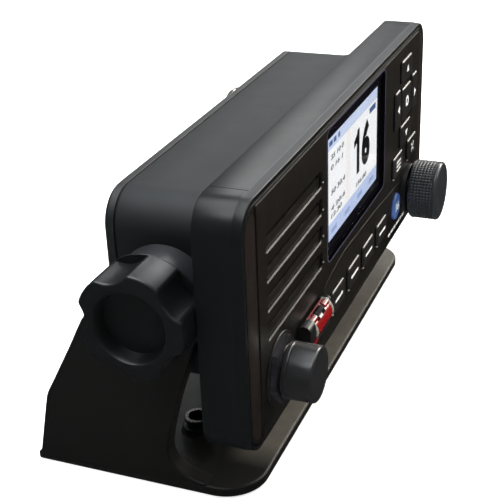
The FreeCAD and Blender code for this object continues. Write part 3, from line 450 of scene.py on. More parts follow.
# pale colour for small studs that stand for the highlight at the keys' lower-left corners: painted highlight
M_KEY_PAINTED_GLINT = moulded("key_painted_glint", srgb(170, 160, 156), rough=0.45, spec=0.5, grain=0.2, depth=0.002, vary=0.08, patch=1)
M_BAND2 = moulded("band_dark", srgb(124, 127, 116), rough=0.42, spec=0.5, grain=0.2, depth=0.004, vary=0.10, patch=2)
M_LABEL = moulded("label_black", srgb(14, 12, 12), rough=0.85, spec=0.1, grain=0.2, depth=0.0005, patch=2, ior=1.08)
M_RED = moulded("red_plastic", srgb(132, 8, 13), rough=0.24, spec=0.6, grain=0.35, depth=0.002, vary=0.10, patch=3, coat=0.22)
M_BLUE = moulded("blue_plastic", srgb(66, 96, 154), rough=0.34, spec=0.5, grain=0.2, depth=0.003, vary=0.10, patch=2, coat=0.3)
M_INSUL = moulded("white_insulator", srgb(226, 222, 210), rough=0.45, spec=0.4, grain=0.3, depth=0.004, vary=0.05, patch=2)
M_BOARD = moulded("circuit_board", srgb(22, 74, 44), rough=0.4, spec=0.5, grain=0.5, depth=0.01, patch=3)
M_GAUZE = moulded("speaker_gauze", srgb(10, 10, 11), rough=0.8, spec=0.2, grain=0.5, depth=0.05, patch=3)
M_STEEL = metal("screw_steel", (0.60, 0.60, 0.61, 1), rough=0.28, feature=0.25)
M_TURNED = metal("turned_steel", (0.66, 0.65, 0.63, 1), rough=0.24, feature=0.2, stretch=(0.2, 0.2, 3.0))
M_BUSH = metal("bush_metal", (0.085, 0.082, 0.08, 1), rough=0.26, feature=0.2, stretch=(0.2, 0.2, 3.0))
M_NICKEL = metal("nickel", (0.66, 0.64, 0.60, 1), rough=0.22, feature=0.4, tarnish=0.2)
M_BLACKMETAL = metal("black_metal", (0.10, 0.10, 0.105, 1), rough=0.34, feature=0.3)
M_THREAD = metal("thread_metal", (0.30, 0.28, 0.25, 1), rough=0.30, feature=0.3)
M_BRASS = metal("brass", (0.72, 0.52, 0.24, 1), rough=0.3, feature=0.3)
M_ALU = metal("sheet_metal", (0.55, 0.56, 0.58, 1), rough=0.4, feature=0.6, stretch=(0.1, 1, 3))
M_LIT = glow("lit_white", srgb(246, 247, 249), 1.18)
M_LITBLUE = glow("lit_blue", srgb(208, 221, 248), 1.08)
M_LITBLUE2 = glow("lit_blue_low", srgb(196, 212, 247), 1.06)
M_LITWARM = glow("lit_warm", srgb(248, 243, 238), 1.14)
M_INK = moulded("ink_black", srgb(8, 8, 10), rough=0.5, spec=0.2, grain=0.2, depth=0.001, patch=2)
M_INKGREY = glow("ink_grey", srgb(104, 106, 112), 0.8)
M_INKBLUE = glow("ink_blue", srgb(72, 104, 160), 0.85)
M_INKPALE = glow("ink_pale", srgb(158, 178, 222), 1.0)


def lens_material():
    """Clear dark-bordered window: mostly see-through, with the gloss of its surface."""
    M = Mat("lens_clear")
    M.nt.nodes.remove(M.b)
    tr = M.add("ShaderNodeBsdfTransparent")
    gl = M.add("ShaderNodeBsdfGlossy")
    gl.inputs["Color"].default_value = (0.9, 0.92, 0.95, 1)
    lw = M.add("ShaderNodeLayerWeight")
    lw.inputs["Blend"].default_value = 0.5
    # the same from both sides, so light leaves the closed pane again
    f = M.span(M.math("POWER", lw.outputs["Facing"], 5.0), 0.02, 0.55, 0.0, 1.0)
    mx = M.add("ShaderNodeMixShader")
    M.link(M.span(M.noise(5.0, 4.0, 0.6), 0.05, 0.12), gl.inputs["Roughness"])
    M.link(f, mx.inputs[0])
    M.link(tr.outputs[0], mx.inputs[1])
    M.link(gl.outputs[0], mx.inputs[2])
    M.link(mx.outputs[0], M.out.inputs[0])
    return M.m


M_LENS = lens_material()


def base_material():
    """Top of the base: painted shade under the radio and a painted lit area along the open front margin, mixed by
    position.
    """
    M = Mat("bracket_base_top_painted_light_shade")
    b = M.b
    sep = M.add("ShaderNodeSeparateXYZ")
    M.link(M.coord, sep.inputs[0])
    big = M.noise(5.0, 4.0, 0.6)
    fine = M.noise(0.42, 2.0, 0.6)
    # mask of painted light and shade by position: 1 along the open front margin, falling to 0 under the radio and at
    # the left end
    fy = M.span(sep.outputs["Y"], 1.0, 0.0, -0.0305, -0.0255)
    fx = M.span(sep.outputs["X"], 0.0, 1.0, -0.0690, -0.0570)
    f = M.math("MULTIPLY", fy, fx)
    # painted lit colour of the front margin; the dark colour in the mix below is the painted shade under the radio
    light = M.mix(M.span(big, 0.0, 1.0), srgb(106, 102, 94), srgb(120, 115, 106))
    light = M.mix(M.span(fine, 0.0, 0.5, 0.35, 0.65), light, srgb(134, 129, 118))
    M.link(M.mix(f, srgb(17, 17, 15), light), b.inputs["Base Color"])
    M.link(M.span(M.noise(4.0, 4.0, 0.6), 0.50, 0.60), b.inputs["Roughness"])
    b.inputs["Specular IOR Level"].default_value = 0.35
    M.link(M.bump(fine, 0.016, 0.8), b.inputs["Normal"])
    return M.m


M_BASE_PAINTED_LIGHT_SHADE = base_material()
# glossless near-black for the walls of the window's recess: painted shade
M_RECESS_PAINTED_SHADE = moulded("recess_painted_shade", srgb(8, 8, 10), rough=0.9, spec=0.0, grain=0.4, depth=0.001, vary=0.05, patch=8, ior=1.05)
# purple-grey for the thin ring at the window's edge: painted highlight
M_EDGE_PAINTED_HIGHLIGHT = moulded("window_edge_painted_highlight", srgb(66, 60, 84), rough=0.6, spec=0.30, grain=0.4, depth=0.002, vary=0.10, patch=4)
M_BORDER = moulded("lens_border", srgb(17, 15, 22), rough=0.24, spec=0.45, grain=0.4, depth=0.001, vary=0.05, patch=8)


# ------------------------------------------------------------------ bracket
AX = (-16.4, 59.4)
FRONT = [(-27.0, 3.2), (-22.5, 4.3), (-18.9, 6.2), (-16.7, 8.8), (-15.9, 12.1), (-16.7, 17.3), (-18.0, 22.5),
         (-19.9, 29.3), (-22.4, 36.6), (-25.3, 45.6), (-28.7, 55.2)]
REAR = [(-3.6, 60.0), (5.3, 51.8), (11.6, 40.3), (18.0, 28.4), (20.6, 23.6), (21.7, 19.6), (23.8, 10.0), (25.9, 0.3)]


def inset_outline(pts, d):
    """Moves a closed 2D outline inwards by d along averaged edge normals."""
    n = len(pts)
    area = sum(pts[i][0] * pts[(i + 1) % n][1] - pts[(i + 1) % n][0] * pts[i][1] for i in range(n))
    s = 1.0 if area > 0 else -1.0
    out = []
    for i in range(n):
        a, b, c = pts[i - 1], pts[i], pts[(i + 1) % n]
        e1, e2 = (b[0] - a[0], b[1] - a[1]), (c[0] - b[0], c[1] - b[1])
        l1, l2 = math.hypot(*e1) or 1.0, math.hypot(*e2) or 1.0
        n1, n2 = (-e1[1] / l1 * s, e1[0] / l1 * s), (-e2[1] / l2 * s, e2[0] / l2 * s)
        m = (n1[0] + n2[0], n1[1] + n2[1])
        k = max(0.25, (m[0] ** 2 + m[1] ** 2) / 2.0)
        out.append((b[0] + m[0] / k * d, b[1] + m[1] / k * d))
    return out


def soft_prism(name, axis, t0, t1, outline, r=0.5, n=4, both=True):
    """Prism with rounded end edges."""
    prof = []
    sgn = 1 if t1 > t0 else -1
    if both:
        prof += [(r * (1 - math.sin(math.pi / 2 * k / n)), t0 + sgn * r * (1 - math.cos(math.pi / 2 * k / n))) for k in range(n + 1)]
    else:
        prof += [(0.0, t0)]
    prof += [(r * (1 - math.cos(math.pi / 2 * k / n)), t1 - sgn * r * (1 - math.sin(math.pi / 2 * k / n))) for k in range(n + 1)]
    return loft(name, [at(axis, t, inset_outline(outline, i)) for i, t in prof])


side_pts = spline(FRONT, 5) + spline(REAR, 4)


def base_ring(i, z):
    pts = [(80.96 - i, 26.0 - i), (-80.96 + i, 26.0 - i)]
    for cx, s in ((-68.96, 180), (68.96, 270)):
        for k in range(17):
            t = math.radians(s + 90.0 * k / 16)
            pts.append((cx + (12 - i) * math.cos(t), -28.4 + (12 - i) * math.sin(t)))
    return at("z", z, pts)


base = loft("bracket_base", [base_ring(i, z) for i, z in
                             [(0.5, 0.0), (0.15, 0.12), (0.0, 0.45)] + [(0.9 * (1 - math.cos(math.pi / 2 * k / 6)), 2.1 + 0.9 * math.sin(math.pi / 2 * k / 6)) for k in range(7)]])
corners4 = [(sx * 57.0, sy * 14.0) for sx in (-1, 1) for sy in (-1, 1)]
boolean(base, [lathe("hole%d" % i, "z", c, [(-1, 3.34), (4, 3.34)], 40) for i, c in enumerate(corners4)])
weld(base)
bits = [base]
paint(base, M_BRACKET)
# the top faces of the base take the material with painted shade and painted light
base.data.materials.append(M_BASE_PAINTED_LIGHT_SHADE)
for f in base.data.polygons:
    if f.normal.z > 0.9 and f.center.z > 2.8 * MM:
        f.material_index = 1
for s in (-1, 1):
    bits.append(paint(soft_prism("side%d" % s, "x", s * 76.0, s * 81.0, side_pts, 0.55), M_BRACKET))
    bits.append(lathe("ear%d" % s, "x", AX, [(s * 75.3, 4.3), (s * 75.3, 12.5), (s * 75.42, 12.85), (s * 75.7, 13.0)]
                      + [(s * (82.7 + 0.9 * math.sin(math.pi / 2 * k / 5)), 13.0 - 0.9 * (1 - math.cos(math.pi / 2 * k / 5))) for k in range(6)]
                      + [(s * 83.6, 4.3)], 128, closed=True))
    # ear in the lighter copy of the bracket plastic: painted light
    paint(bits[-1], M_EAR_PAINTED_LIGHTER)
    # moulded fillet between the side plate and the base
    arc = [(s * (76.12 - 1.9 * (1 - math.sin(math.pi / 2 * k / 6))), 2.92 + 1.9 * (1 - math.cos(math.pi / 2 * k / 6))) for k in range(7)]
    sec = [(s * 74.22, 2.6)] + arc + [(s * 76.2, 4.82), (s * 76.2, 2.6)]
    bits.append(paint(loft("fillet%d" % s, [[(x, y, z) for x, z in sec] for y in (-17.5, 25.2)]), M_BRACKET))
for i, c in enumerate(corners4):
    bits.append(lathe("boss%d" % i, "z", c, [(2.4, 3.34), (2.4, 5.6), (3.0, 5.2), (3.35, 4.85), (3.9, 4.62), (5.0, 4.6), (5.25, 4.5), (5.4, 4.25), (5.4, 3.34)], 48, closed=True))
    paint(bits[-1], M_BRACKET)
bracket = piece(join("bracket_moulding", bits), "bracket", ["mounting_bracket"])
bush = join("bracket_bushes", [lathe("bush%d" % i, "z", c, [(0.05, 2.25), (0.05, 3.3), (6.75, 3.3), (6.75, 3.85), (6.9, 4.0), (7.75, 4.0), (8.0, 3.75), (8.0, 2.75), (7.6, 2.3)], 48, closed=True)
                               for i, c in enumerate(corners4)])
piece(bush, "bracket", ["bracket_ferrules"], M_BUSH)

# ------------------------------------------------------------------ front flange


def rr(x, z0, z1, r, y, n=10):
    return at("y", y, rrect(-x, x, z0, z1, r, n))


def ins(i, y):
    return rr(90 - i, 20.6 + i, 91.3 - i, 8.5 - i, y)


# the last 2.5 mm before the front edge tapers slightly, with a faint line where it starts
rings = [ins(0.5, -31.1), ins(0.14, -31.2), ins(0, -31.5), ins(0, -41.25), ins(0.01, -41.4), ins(0.06, -41.5), ins(0.26, -43.72)]
rings += [ins(0.26 + 0.26 * (1 - math.cos(math.pi / 2 * k / 6)), -43.72 - 0.28 * math.sin(math.pi / 2 * k / 6)) for k in range(1, 7)]
rings += [rr(88.67, 21.93, 89.67, 7.17, -44), rr(88.61, 21.99, 89.61, 7.11, -43.96), rr(88.6, 22.0, 89.6, 7.1, -43.85),
          rr(88.6, 22.0, 89.6, 7.1, -41.85), rr(84, 24.8, 87.1, 5, -41.85),
          rr(84, 24.8, 87.1, 5, -33.1), rr(66, 33.7, 77.9, 4, -33.1), rr(66, 33.7, 77.9, 4, -31.1)]
bezel = loft("bezel_frame", rings, closed=True)
SCREWS = [(sx * 86.6, z) for sx in (-1, 1) for z in (32.0, 79.0)]
tools = [lathe("sink%d" % i, "y", c, [(-33.7, 2.1), (-29.0, 2.1)], 32) for i, c in enumerate(SCREWS)]
tools += [block("crease%d" % s, s * 78.3 - 0.13, s * 78.3 + 0.13, -41.6, -30.5, 91.05, 92.5) for s in (-1, 1)]
boolean(bezel, tools)
weld(bezel)
piece(bezel, "radio", ["front_bezel"], M_BEZEL, weighted=False, sharp=33)


def socket_screw(name, axis, c, t0, t1, t2, r_shaft, r_head, r_key, key_depth, dome=0.25):
    """Screw lying along an axis: shaft t0..t1, head t1..t2 with a hexagon socket."""
    s = 1 if t2 > t1 else -1
    prof = [(t0, 0.0), (t0, r_shaft * 0.6), (t0 + s * 0.4, r_shaft), (t1, r_shaft), (t1, r_head - 0.08), (t1 + s * 0.08, r_head),
            (t2 - s * dome, r_head), (t2 - s * 0.05, r_head - dome * 0.7), (t2, r_head - dome * 1.4), (t2, 0.0)]
    ob = lathe(name, axis, c, prof, 36)
    hx = [(c[0] + r_key * math.cos(math.radians(60 * k + 15)), c[1] + r_key * math.sin(math.radians(60 * k + 15))) for k in range(6)]
    tool = prism(name + "_key", axis, t2 - s * key_depth, t2 + s * 1.0, hx)
    return boolean(ob, [tool])


piece(join("flange_screws", [socket_screw("fs%d" % i, "y", c, -43.1, -33.6, -31.4, 1.04, 1.9, 1.0, 1.1) for i, c in enumerate(SCREWS)]),
      "radio", ["bezel_screws"], M_STEEL)

# ------------------------------------------------------------------ front panel
KEYS = {}
PAD = (61.8, 69.1)
for nm, x0, x1, z0, z1 in (("up", -7, 7, 7.6, 15.6), ("down", -7, 7, -15.6, -7.6), ("left", -14.9, -7.9, -6.8, 6.8),
                           ("right", 7.9, 14.9, -6.8, 6.8), ("enter", -6.2, 6.2, -5.8, 5.8)):
    KEYS[nm] = (PAD[0] + x0, PAD[0] + x1, PAD[1] + z0, PAD[1] + z1)
KEYS["menu"] = (45.6, 58.2, 44.8, 52.8)
KEYS["clear"] = (65.2, 77.8, 44.8, 52.8)
for k, (x0, x1) in enumerate(((-24.4, -11.7), (-7.7, 5.0), (8.5, 21.2), (25.1, 37.8))):
    KEYS["soft_%d" % (k + 1)] = (x0, x1, 28.7, 36.6)

edge = rr_loft("panel_edge", "y", -88.15, 88.15, 22.45, 89.48, 6.65,
               [(0.0, -42.0), (0.0, -43.85)] + [(0.15 * (1 - math.cos(math.pi / 2 * k / 4)), -43.85 - 0.15 * math.sin(math.pi / 2 * k / 4)) for k in range(1, 5)], 10)
mid = rr_loft("panel_mid", "y", -81.0, 81.0, 22.85, 88.75, 0.5,
              [(0.0, -42.6), (0.0, -44.28), (0.04, -44.36), (0.12, -44.4)], 4)
step = [(80.7, 39.5), (72, 39.8), (48, 41), (29, 42.5), (8, 43.5), (-10, 44), (-22, 42.9), (-29, 41.2), (-32.2, 38.6), (-33.2, 35.0)]
step = spline(step, 5) + [(-33.2, 23.2), (80.7, 23.2)]
low = loft("panel_low", [at("y", y, inset_outline(step, i)) for i, y in ((0, -43.9), (0, -44.42), (0.05, -44.49))])
boolean(edge, [mid, low], "UNION")
weld(edge)
cut = [rr_loft("win", "y", -26.3, 35.5, 47.4, 88.1, 2.4, [(0, -46), (0, -41)], 8)]
CHAN = [73.9 - 8.25 * i for i in range(4)]
for i, z in enumerate(CHAN):
    cut.append(rr_loft("chan%d" % i, "y", -74.7, -31.2, z, z + 4.4, 0.9, [(-0.57, -46), (-0.57, -44.42), (-0.18, -44.05), (-0.18, -43.5)], 6))
    cut.append(rr_loft("slot%d" % i, "y", -74.0, -31.9, z + 2.8, z + 4.5, 0.3, [(0, -43.8), (0, -41)], 3))
for nm, (x0, x1, z0, z1) in KEYS.items():
    cut.append(rr_loft("kw_" + nm, "y", x0 - 0.28, x1 + 0.28, z0 - 0.28, z1 + 0.28, 1.68, [(0, -46), (0, -41)], 6))
cut.append(lathe("kw_blue", "y", (51.4, 33.3), [(-46, 5.1), (-41, 5.1)], 48))
cut.append(lathe("kw_dial", "y", (66.6, 34.5), [(-46, 8.0), (-41, 8.0)], 48))
cut.append(lathe("kw_mic", "y", (-68.0, 36.7), [(-46, 7.4), (-41, 7.4)], 48))
cut.append(rr_loft("kw_distress", "y", -47.0, -37.0, 34.5, 38.4, 1.2, [(0, -46), (0, -41)], 5))
boolean(edge, cut)
weld(edge)
edge.name = "front_panel"
bevel(edge, 0.13, 2, 40)
piece(edge, "radio", ["front_plate"], M_PLATE, sharp=50)

# small pale studs at the channels' ends: painted highlights on the channels' end walls
studs = []
for i, z in enumerate(CHAN):
    for x, dz, r in ((-30.55, 0.95, 0.27), (-75.1, -0.05, 0.30)):
        studs.append(lathe("stud", "y", (x, z + dz), [(-44.2, 0.0), (-44.2, r), (-44.5, r), (-44.6, r * 0.8), (-44.66, r * 0.4), (-44.67, 0.0)], 20))
piece(join("channel_studs", studs), "radio", (), M_CHANNEL_END_HIGHLIGHT)

# crowned strips either side of the panel, coloured lighter and browner than the panel as painted light
def border_strip(s):
    """Slightly crowned strip between the raised centre and the rim."""
    cols = 14
    rows = 40
    x_in, x_out = 81.03, 87.8
    r = 6.3
    cx, cz0, cz1 = x_out - r, 22.8 + r, 88.8 - r
    verts, faces = [], []
    for layer in (0, 1):
        for j in range(rows + 1):
            v = j / rows
            for i in range(cols + 1):
                u = i / cols
                x = x_in + (x_out - x_in) * u
                h = math.sqrt(max(0.0, r * r - max(0.0, x - cx) ** 2)) if x > cx else r
                z0, z1 = cz0 - h, cz1 + h
                z = z0 + (z1 - z0) * v
                if layer == 0:
                    crown = 0.30 * (1 - (2 * u - 1) ** 2) ** 0.7 if 0 < u < 1 else 0.0
                    endf = min(1.0, min(v, 1 - v) * 14)
                    y = -43.93 - crown * endf
                else:
                    y = -43.6
                verts.append((s * x, y, z))
    W = cols + 1
    N = W * (rows + 1)
    for j in range(rows):
        for i in range(cols):
            a = j * W + i
            faces.append((a, a + 1, a + W + 1, a + W))
            faces.append((N + a, N + a + W, N + a + W + 1, N + a + 1))
    rim = [i for i in range(W)] + [j * W + cols for j in range(1, rows + 1)] + [rows * W + i for i in range(cols - 1, -1, -1)] + [j * W for j in range(rows - 1, 0, -1)]
    for k in range(len(rim)):
        a, b = rim[k], rim[(k + 1) % len(rim)]
        faces.append((a, b, N + b, N + a))
    return outward(new_obj("border_strip_%s" % ("left" if s < 0 else "right"), verts, faces))


for s in (-1, 1):
    piece(border_strip(s), "radio", (), M_SIDESTRIP_PAINTED_LIGHT, sharp=60)


# ------------------------------------------------------------------ lettering
def digits(name, text, x0, x1, z0, z1, y_front, y_back, shear=0.0, bold=0.0, mat=None):
    """Generic numerals from Blender's built-in font as a thin solid, fitted to a box on the front."""
    cu = bpy.data.curves.new(name, "FONT")
    cu.body, cu.size, cu.shear, cu.offset, cu.resolution_u = text, 1.0, shear, bold, 4
    tmp = bpy.data.objects.new(name + "_src", cu)
    scene.collection.objects.link(tmp)
    bpy.context.view_layer.update()
    me = bpy.data.meshes.new_from_object(tmp.evaluated_get(bpy.context.evaluated_depsgraph_get()))
    bpy.data.objects.remove(tmp)
    bpy.data.curves.remove(cu)
    bm = bmesh.new()
    bm.from_mesh(me)
    xs = [v.co.x for v in bm.verts]
    ys = [v.co.y for v in bm.verts]
    ax, bx, ay, by = min(xs), max(xs), min(ys), max(ys)
    for v in bm.verts:
        v.co = Vector(((x0 + (v.co.x - ax) / (bx - ax) * (x1 - x0)) * MM, y_front * MM, (z0 + (v.co.y - ay) / (by - ay) * (z1 - z0)) * MM))
    ext = bmesh.ops.extrude_face_region(bm, geom=bm.faces[:])
    for v in [g for g in ext["geom"] if isinstance(g, bmesh.types.BMVert)]:
        v.co.y = y_back * MM
    bmesh.ops.recalc_face_normals(bm, faces=bm.faces)
    bm.to_mesh(me)
    bm.free()
    me.name = name
    ob = bpy.data.objects.new(name, me)
    scene.collection.objects.link(ob)
    if mat:
        paint(ob, mat)
    return ob


def tile(name, x0, x1, z0, z1, y_front, y_back, r=0.15, mat=None, skew=0.0):
    pts = [(x + skew * (z - z0), z) for x, z in rrect(x0, x1, z0, z1, r, 3)]
    ob = prism(name, "y", y_back, y_front, pts)
    if mat:
        paint(ob, mat)
    return ob


def poly(name, pts, y_front, y_back, mat=None):
    ob = prism(name, "y", y_back, y_front, pts)
    if mat:
        paint(ob, mat)
    return ob


# ------------------------------------------------------------------ keys
def key_cap(nm, mat=M_KEY):
    x0, x1, z0, z1 = KEYS[nm]
    prof = [(0.1, -41.6), (0.0, -41.8), (0.0, -44.38), (0.04, -44.80), (0.11, -44.89), (0.39, -45.15), (0.47, -45.2), (0.6, -45.24)]
    prof += [(1.6, -45.28), (2.4, -45.3)]
    cap = paint(rr_loft("cap_" + nm, "y", x0, x1, z0, z1, 1.4, prof, 8), mat)
    cap.data.materials.append(M_KEYSIDE_PAINTED_SHADE)
    # faces across the key (its side walls) get the near-black: painted shade
    for f in cap.data.polygons:
        if abs(f.normal.y) < 0.45:
            f.material_index = 1
    return cap


MARK_F, MARK_B = -45.335, -45.2
marks = {}
cx, cz = PAD
marks["up"] = [poly("m", [(cx - 1.5, cz + 10.6), (cx + 1.5, cz + 10.6), (cx, cz + 13.0)], MARK_F, MARK_B, M_WHITE)]
marks["down"] = [poly("m", [(cx - 1.5, cz - 10.6), (cx, cz - 13.0), (cx + 1.5, cz - 10.6)], MARK_F, MARK_B, M_WHITE)]
marks["left"] = [poly("m", [(cx - 12.6, cz), (cx - 10.2, cz - 1.5), (cx - 10.2, cz + 1.5)], MARK_F, MARK_B, M_WHITE)]
marks["right"] = [poly("m", [(cx + 12.6, cz), (cx + 10.2, cz + 1.5), (cx + 10.2, cz - 1.5)], MARK_F, MARK_B, M_WHITE)]
marks["enter"] = [lathe("m", "y", (cx, cz), [(MARK_B, 0.9), (MARK_B, 1.9), (MARK_F, 1.9), (MARK_F, 0.9)], 40, closed=True)]
paint(marks["enter"][0], M_WHITE)
mx = (KEYS["menu"][0] + KEYS["menu"][1]) / 2
marks["menu"] = [tile("m%d" % i, mx - 2.7, mx + 2.7, 47.05 + 1.45 * i, 47.65 + 1.45 * i, MARK_F, MARK_B, 0.1, M_WHITE) for i in range(3)]
cxx = (KEYS["clear"][0] + KEYS["clear"][1]) / 2
marks["clear"] = []
for a in (45, 135):
    c_, s_ = math.cos(math.radians(a)), math.sin(math.radians(a))
    marks["clear"].append(poly("m%d" % a, [(cxx + u * c_ - v * s_, 48.8 + u * s_ + v * c_) for u, v in ((-2.1, -0.35), (2.1, -0.35), (2.1, 0.35), (-2.1, 0.35))], MARK_F, MARK_B, M_WHITE))
for k in range(1, 5):
    x0, x1, z0, z1 = KEYS["soft_%d" % k]
    m = (x0 + x1) / 2
    marks["soft_%d" % k] = [tile("m", m - 3.65, m + 3.65, 32.1, 32.95, MARK_F, MARK_B, 0.12, M_WHITE)]
for nm in KEYS:
    # pale stud at the lower-left corner of soft, menu and clear keys: a painted highlight
    if nm.startswith("soft") or nm in ("menu", "clear"):
        gx, gz = KEYS[nm][0] + 0.55, KEYS[nm][2] + 0.55
        marks[nm].append(paint(lathe("glint", "y", (gx, gz), [(-44.7, 0.0), (-44.7, 0.26), (-45.2, 0.26), (-45.28, 0.16), (-45.3, 0.0)], 16), M_KEY_PAINTED_GLINT))
    node = ("soft_key_" + nm[-1]) if nm.startswith("soft") else nm + "_key"
    body = node
    ob = join("keycap_" + nm, [key_cap(nm)] + marks[nm])
    piece(ob, body, [node])

blue = lathe("blue", "y", (51.4, 33.3), [(-41.6, 0.0), (-41.6, 4.7), (-41.8, 4.8), (-44.7, 4.8)]
             + [(-44.7 - 0.5 * math.sin(math.pi / 2 * k / 5), 4.8 - 0.5 * (1 - math.cos(math.pi / 2 * k / 5))) for k in range(1, 6)]
             + [(-45.27, 2.4), (-45.3, 0.0)], 64)
paint(blue, M_BLUE)
blue = join("keycap_blue", [blue, digits("d16", "16", 51.4 - 2.1, 51.4 + 2.1, 31.8, 34.9, -45.335, -45.2, 0.1, 0.02, M_WHITE)])
piece(blue, "channel_key", ["channel_key"])

# label dashes printed on the panel under the blue key
dashes = []
for i, (a, b) in enumerate(((42.5, 45.0), (45.7, 49.2), (50.0, 52.4), (53.4, 57.8), (58.7, 60.6), (61.3, 64.0))):
    dashes.append(tile("dash%d" % i, a, b, 24.9, 25.9, -44.525, -44.42, 0.1, M_WHITE))
piece(join("panel_marks", dashes), "radio")

# ------------------------------------------------------------------ display
glass = rr_loft("window_glass", "y", -26.18, 35.38, 47.52, 87.98, 2.3, [(0.06, -43.12), (0.0, -43.14), (0.0, -43.18), (0.05, -43.2)], 8)
piece(glass, "radio", ["display_lens"], M_LENS)
b0 = rr_loft("window_border", "y", -26.18, 35.38, 47.52, 87.98, 2.3, [(0, -41.9), (0, -43.1)], 8)
boolean(b0, [rr_loft("hole", "y", -21.4, 30.6, 51.8, 83.7, 0.25, [(0, -44), (0, -41)], 3)])
weld(b0)
piece(b0, "radio", (), M_BORDER)
# dark liner round the window's recess: glossless black, painted shade on the recess walls
liner = rr_loft("window_liner", "y", -26.29, 35.49, 47.41, 88.09, 2.39,
                [(0.0, -43.22), (0.0, -44.3), (0.03, -44.36), (0.09, -44.36), (0.12, -44.3), (0.12, -43.22)], 8, closed=True)
piece(liner, "radio", (), M_RECESS_PAINTED_SHADE)
# thin purple-grey ring at the front edge of the window's recess: a painted highlight
edge_line = rr_loft("window_edge", "y", -26.62, 35.82, 47.08, 88.42, 2.7,
                    [(0.0, -44.38), (0.0, -44.43), (0.1, -44.45), (0.3, -44.45), (0.33, -44.43), (0.33, -44.38)], 8, closed=True)
piece(edge_line, "radio", (), M_EDGE_PAINTED_HIGHLIGHT)
YB, Y0, Y1 = -42.98, -43.03, -43.045
pics = [
    tile("area", -21.4, 30.6, 57.0, 80.0, Y0, YB, 0.01, M_LIT),
    tile("head", -21.4, 30.6, 80.0, 83.7, Y0, YB, 0.01, M_LITBLUE),
    tile("foot", -21.4, 30.6, 51.8, 57.0, Y0, YB, 0.01, M_LITBLUE2),
    tile("warm", -3.2, 0.2, 57.0, 80.0, -43.036, Y0 + 0.01, 0.01, M_LITWARM),
    poly("big1", [(4.7 + 5.8 * u, 62.1 + 14.6 * v) for u, v in ((0.50, 0), (1, 0), (1, 1), (0.64, 1), (0.50, 0.90), (0, 0.80), (0, 0.65), (0.50, 0.72))], Y1, Y0, M_INK),
    digits("big6", "6", 13.0, 22.2, 61.9, 76.8, Y1, Y0, 0.0, 0.06, M_INK),
    tile("icon", 21.6, 28.7, 77.2, 79.1, Y1, Y0, 0.2, M_INKBLUE),
    digits("row1", "25 10 0", -18.7, -6.0, 76.6, 78.1, Y1, Y0, 0.15, 0.035, M_INKGREY),
    digits("row2", "0 16 1", -18.7, -6.8, 73.4, 74.9, Y1, Y0, 0.15, 0.035, M_INKGREY),
    digits("row3", "50 30.4", -18.7, -4.7, 65.6, 67.2, Y1, Y0, 0.15, 0.035, M_INKGREY),
    digits("row4", "4 20.6", -18.7, -4.7, 60.6, 62.0, Y1, Y0, 0.15, 0.035, M_INKGREY),
    digits("row5", "12.30", -18.7, -8.0, 58.2, 59.6, Y1, Y0, 0.15, 0.035, M_INKGREY),
    digits("row6", "156.80", 7.0, 18.5, 57.9, 59.4, Y1, Y0, 0.15, 0.035, M_INKGREY),
]
for i, (a, b) in enumerate(((-20.2, -17.0), (-16.0, -13.4), (-11.6, -9.8))):
    pics.append(tile("hm%d" % i, a, b, 81.1, 82.6, Y1, Y0, 0.2, M_INKBLUE))
for i, a in enumerate((-18.5, -5.0, 8.4, 21.8)):
    pics.append(tile("fm%d" % i, a, a + 5.4, 53.3, 54.9, Y1, Y0, 0.1, M_INKPALE))
piece(join("picture_field", pics), "radio", ["display_panel"], weighted=False)

# ------------------------------------------------------------------ dial
DX, DZ = 66.6, 34.5


def knurl(t, r, a):
    if -56.2 < t < -48.2 and r > 10.0:
        u = (t + 48.2) / (-8.0) * 7
        v = a / (2 * math.pi) * 60
        h = abs(math.sin(math.pi * u)) ** 0.7 * abs(math.sin(math.pi * v)) ** 0.7
        return r - 0.36 * (1 - h)
    return r


prof = [(-47.4, 0.0), (-47.4, 9.4), (-47.45, 9.9), (-47.6, 10.2), (-47.9, 10.3), (-48.19, 10.3)]
prof += [(-48.2 - 8.0 * k / 49, 10.6) for k in range(50)]
prof += [(-56.22, 10.35), (-56.28, 10.52), (-56.45, 10.6), (-56.7, 10.6), (-57.05, 10.5), (-57.4, 10.2), (-57.65, 9.75), (-57.77, 9.3), (-57.8, 8.9),
         (-57.75, 8.4), (-57.62, 7.6), (-57.56, 5.0), (-57.54, 2.0), (-57.54, 0.0)]
dial = lathe("dial_cap", "y", (DX, DZ), prof, 420, shape=knurl)
paint(dial, M_DIAL)
piece(join("dial_grip", [dial]), "dial", ["tuning_dial"], sharp=42, weighted=False)
collar = lathe("dial_collar_ring", "y", (DX, DZ), [(-44.42, 4.3), (-44.42, 8.95), (-46.0, 8.95), (-46.25, 8.9), (-46.42, 8.72), (-46.5, 8.4), (-46.5, 6.4), (-46.2, 6.1), (-45.9, 4.3)], 96, closed=True)
piece(collar, "radio", ["dial_collar"], M_DARK)

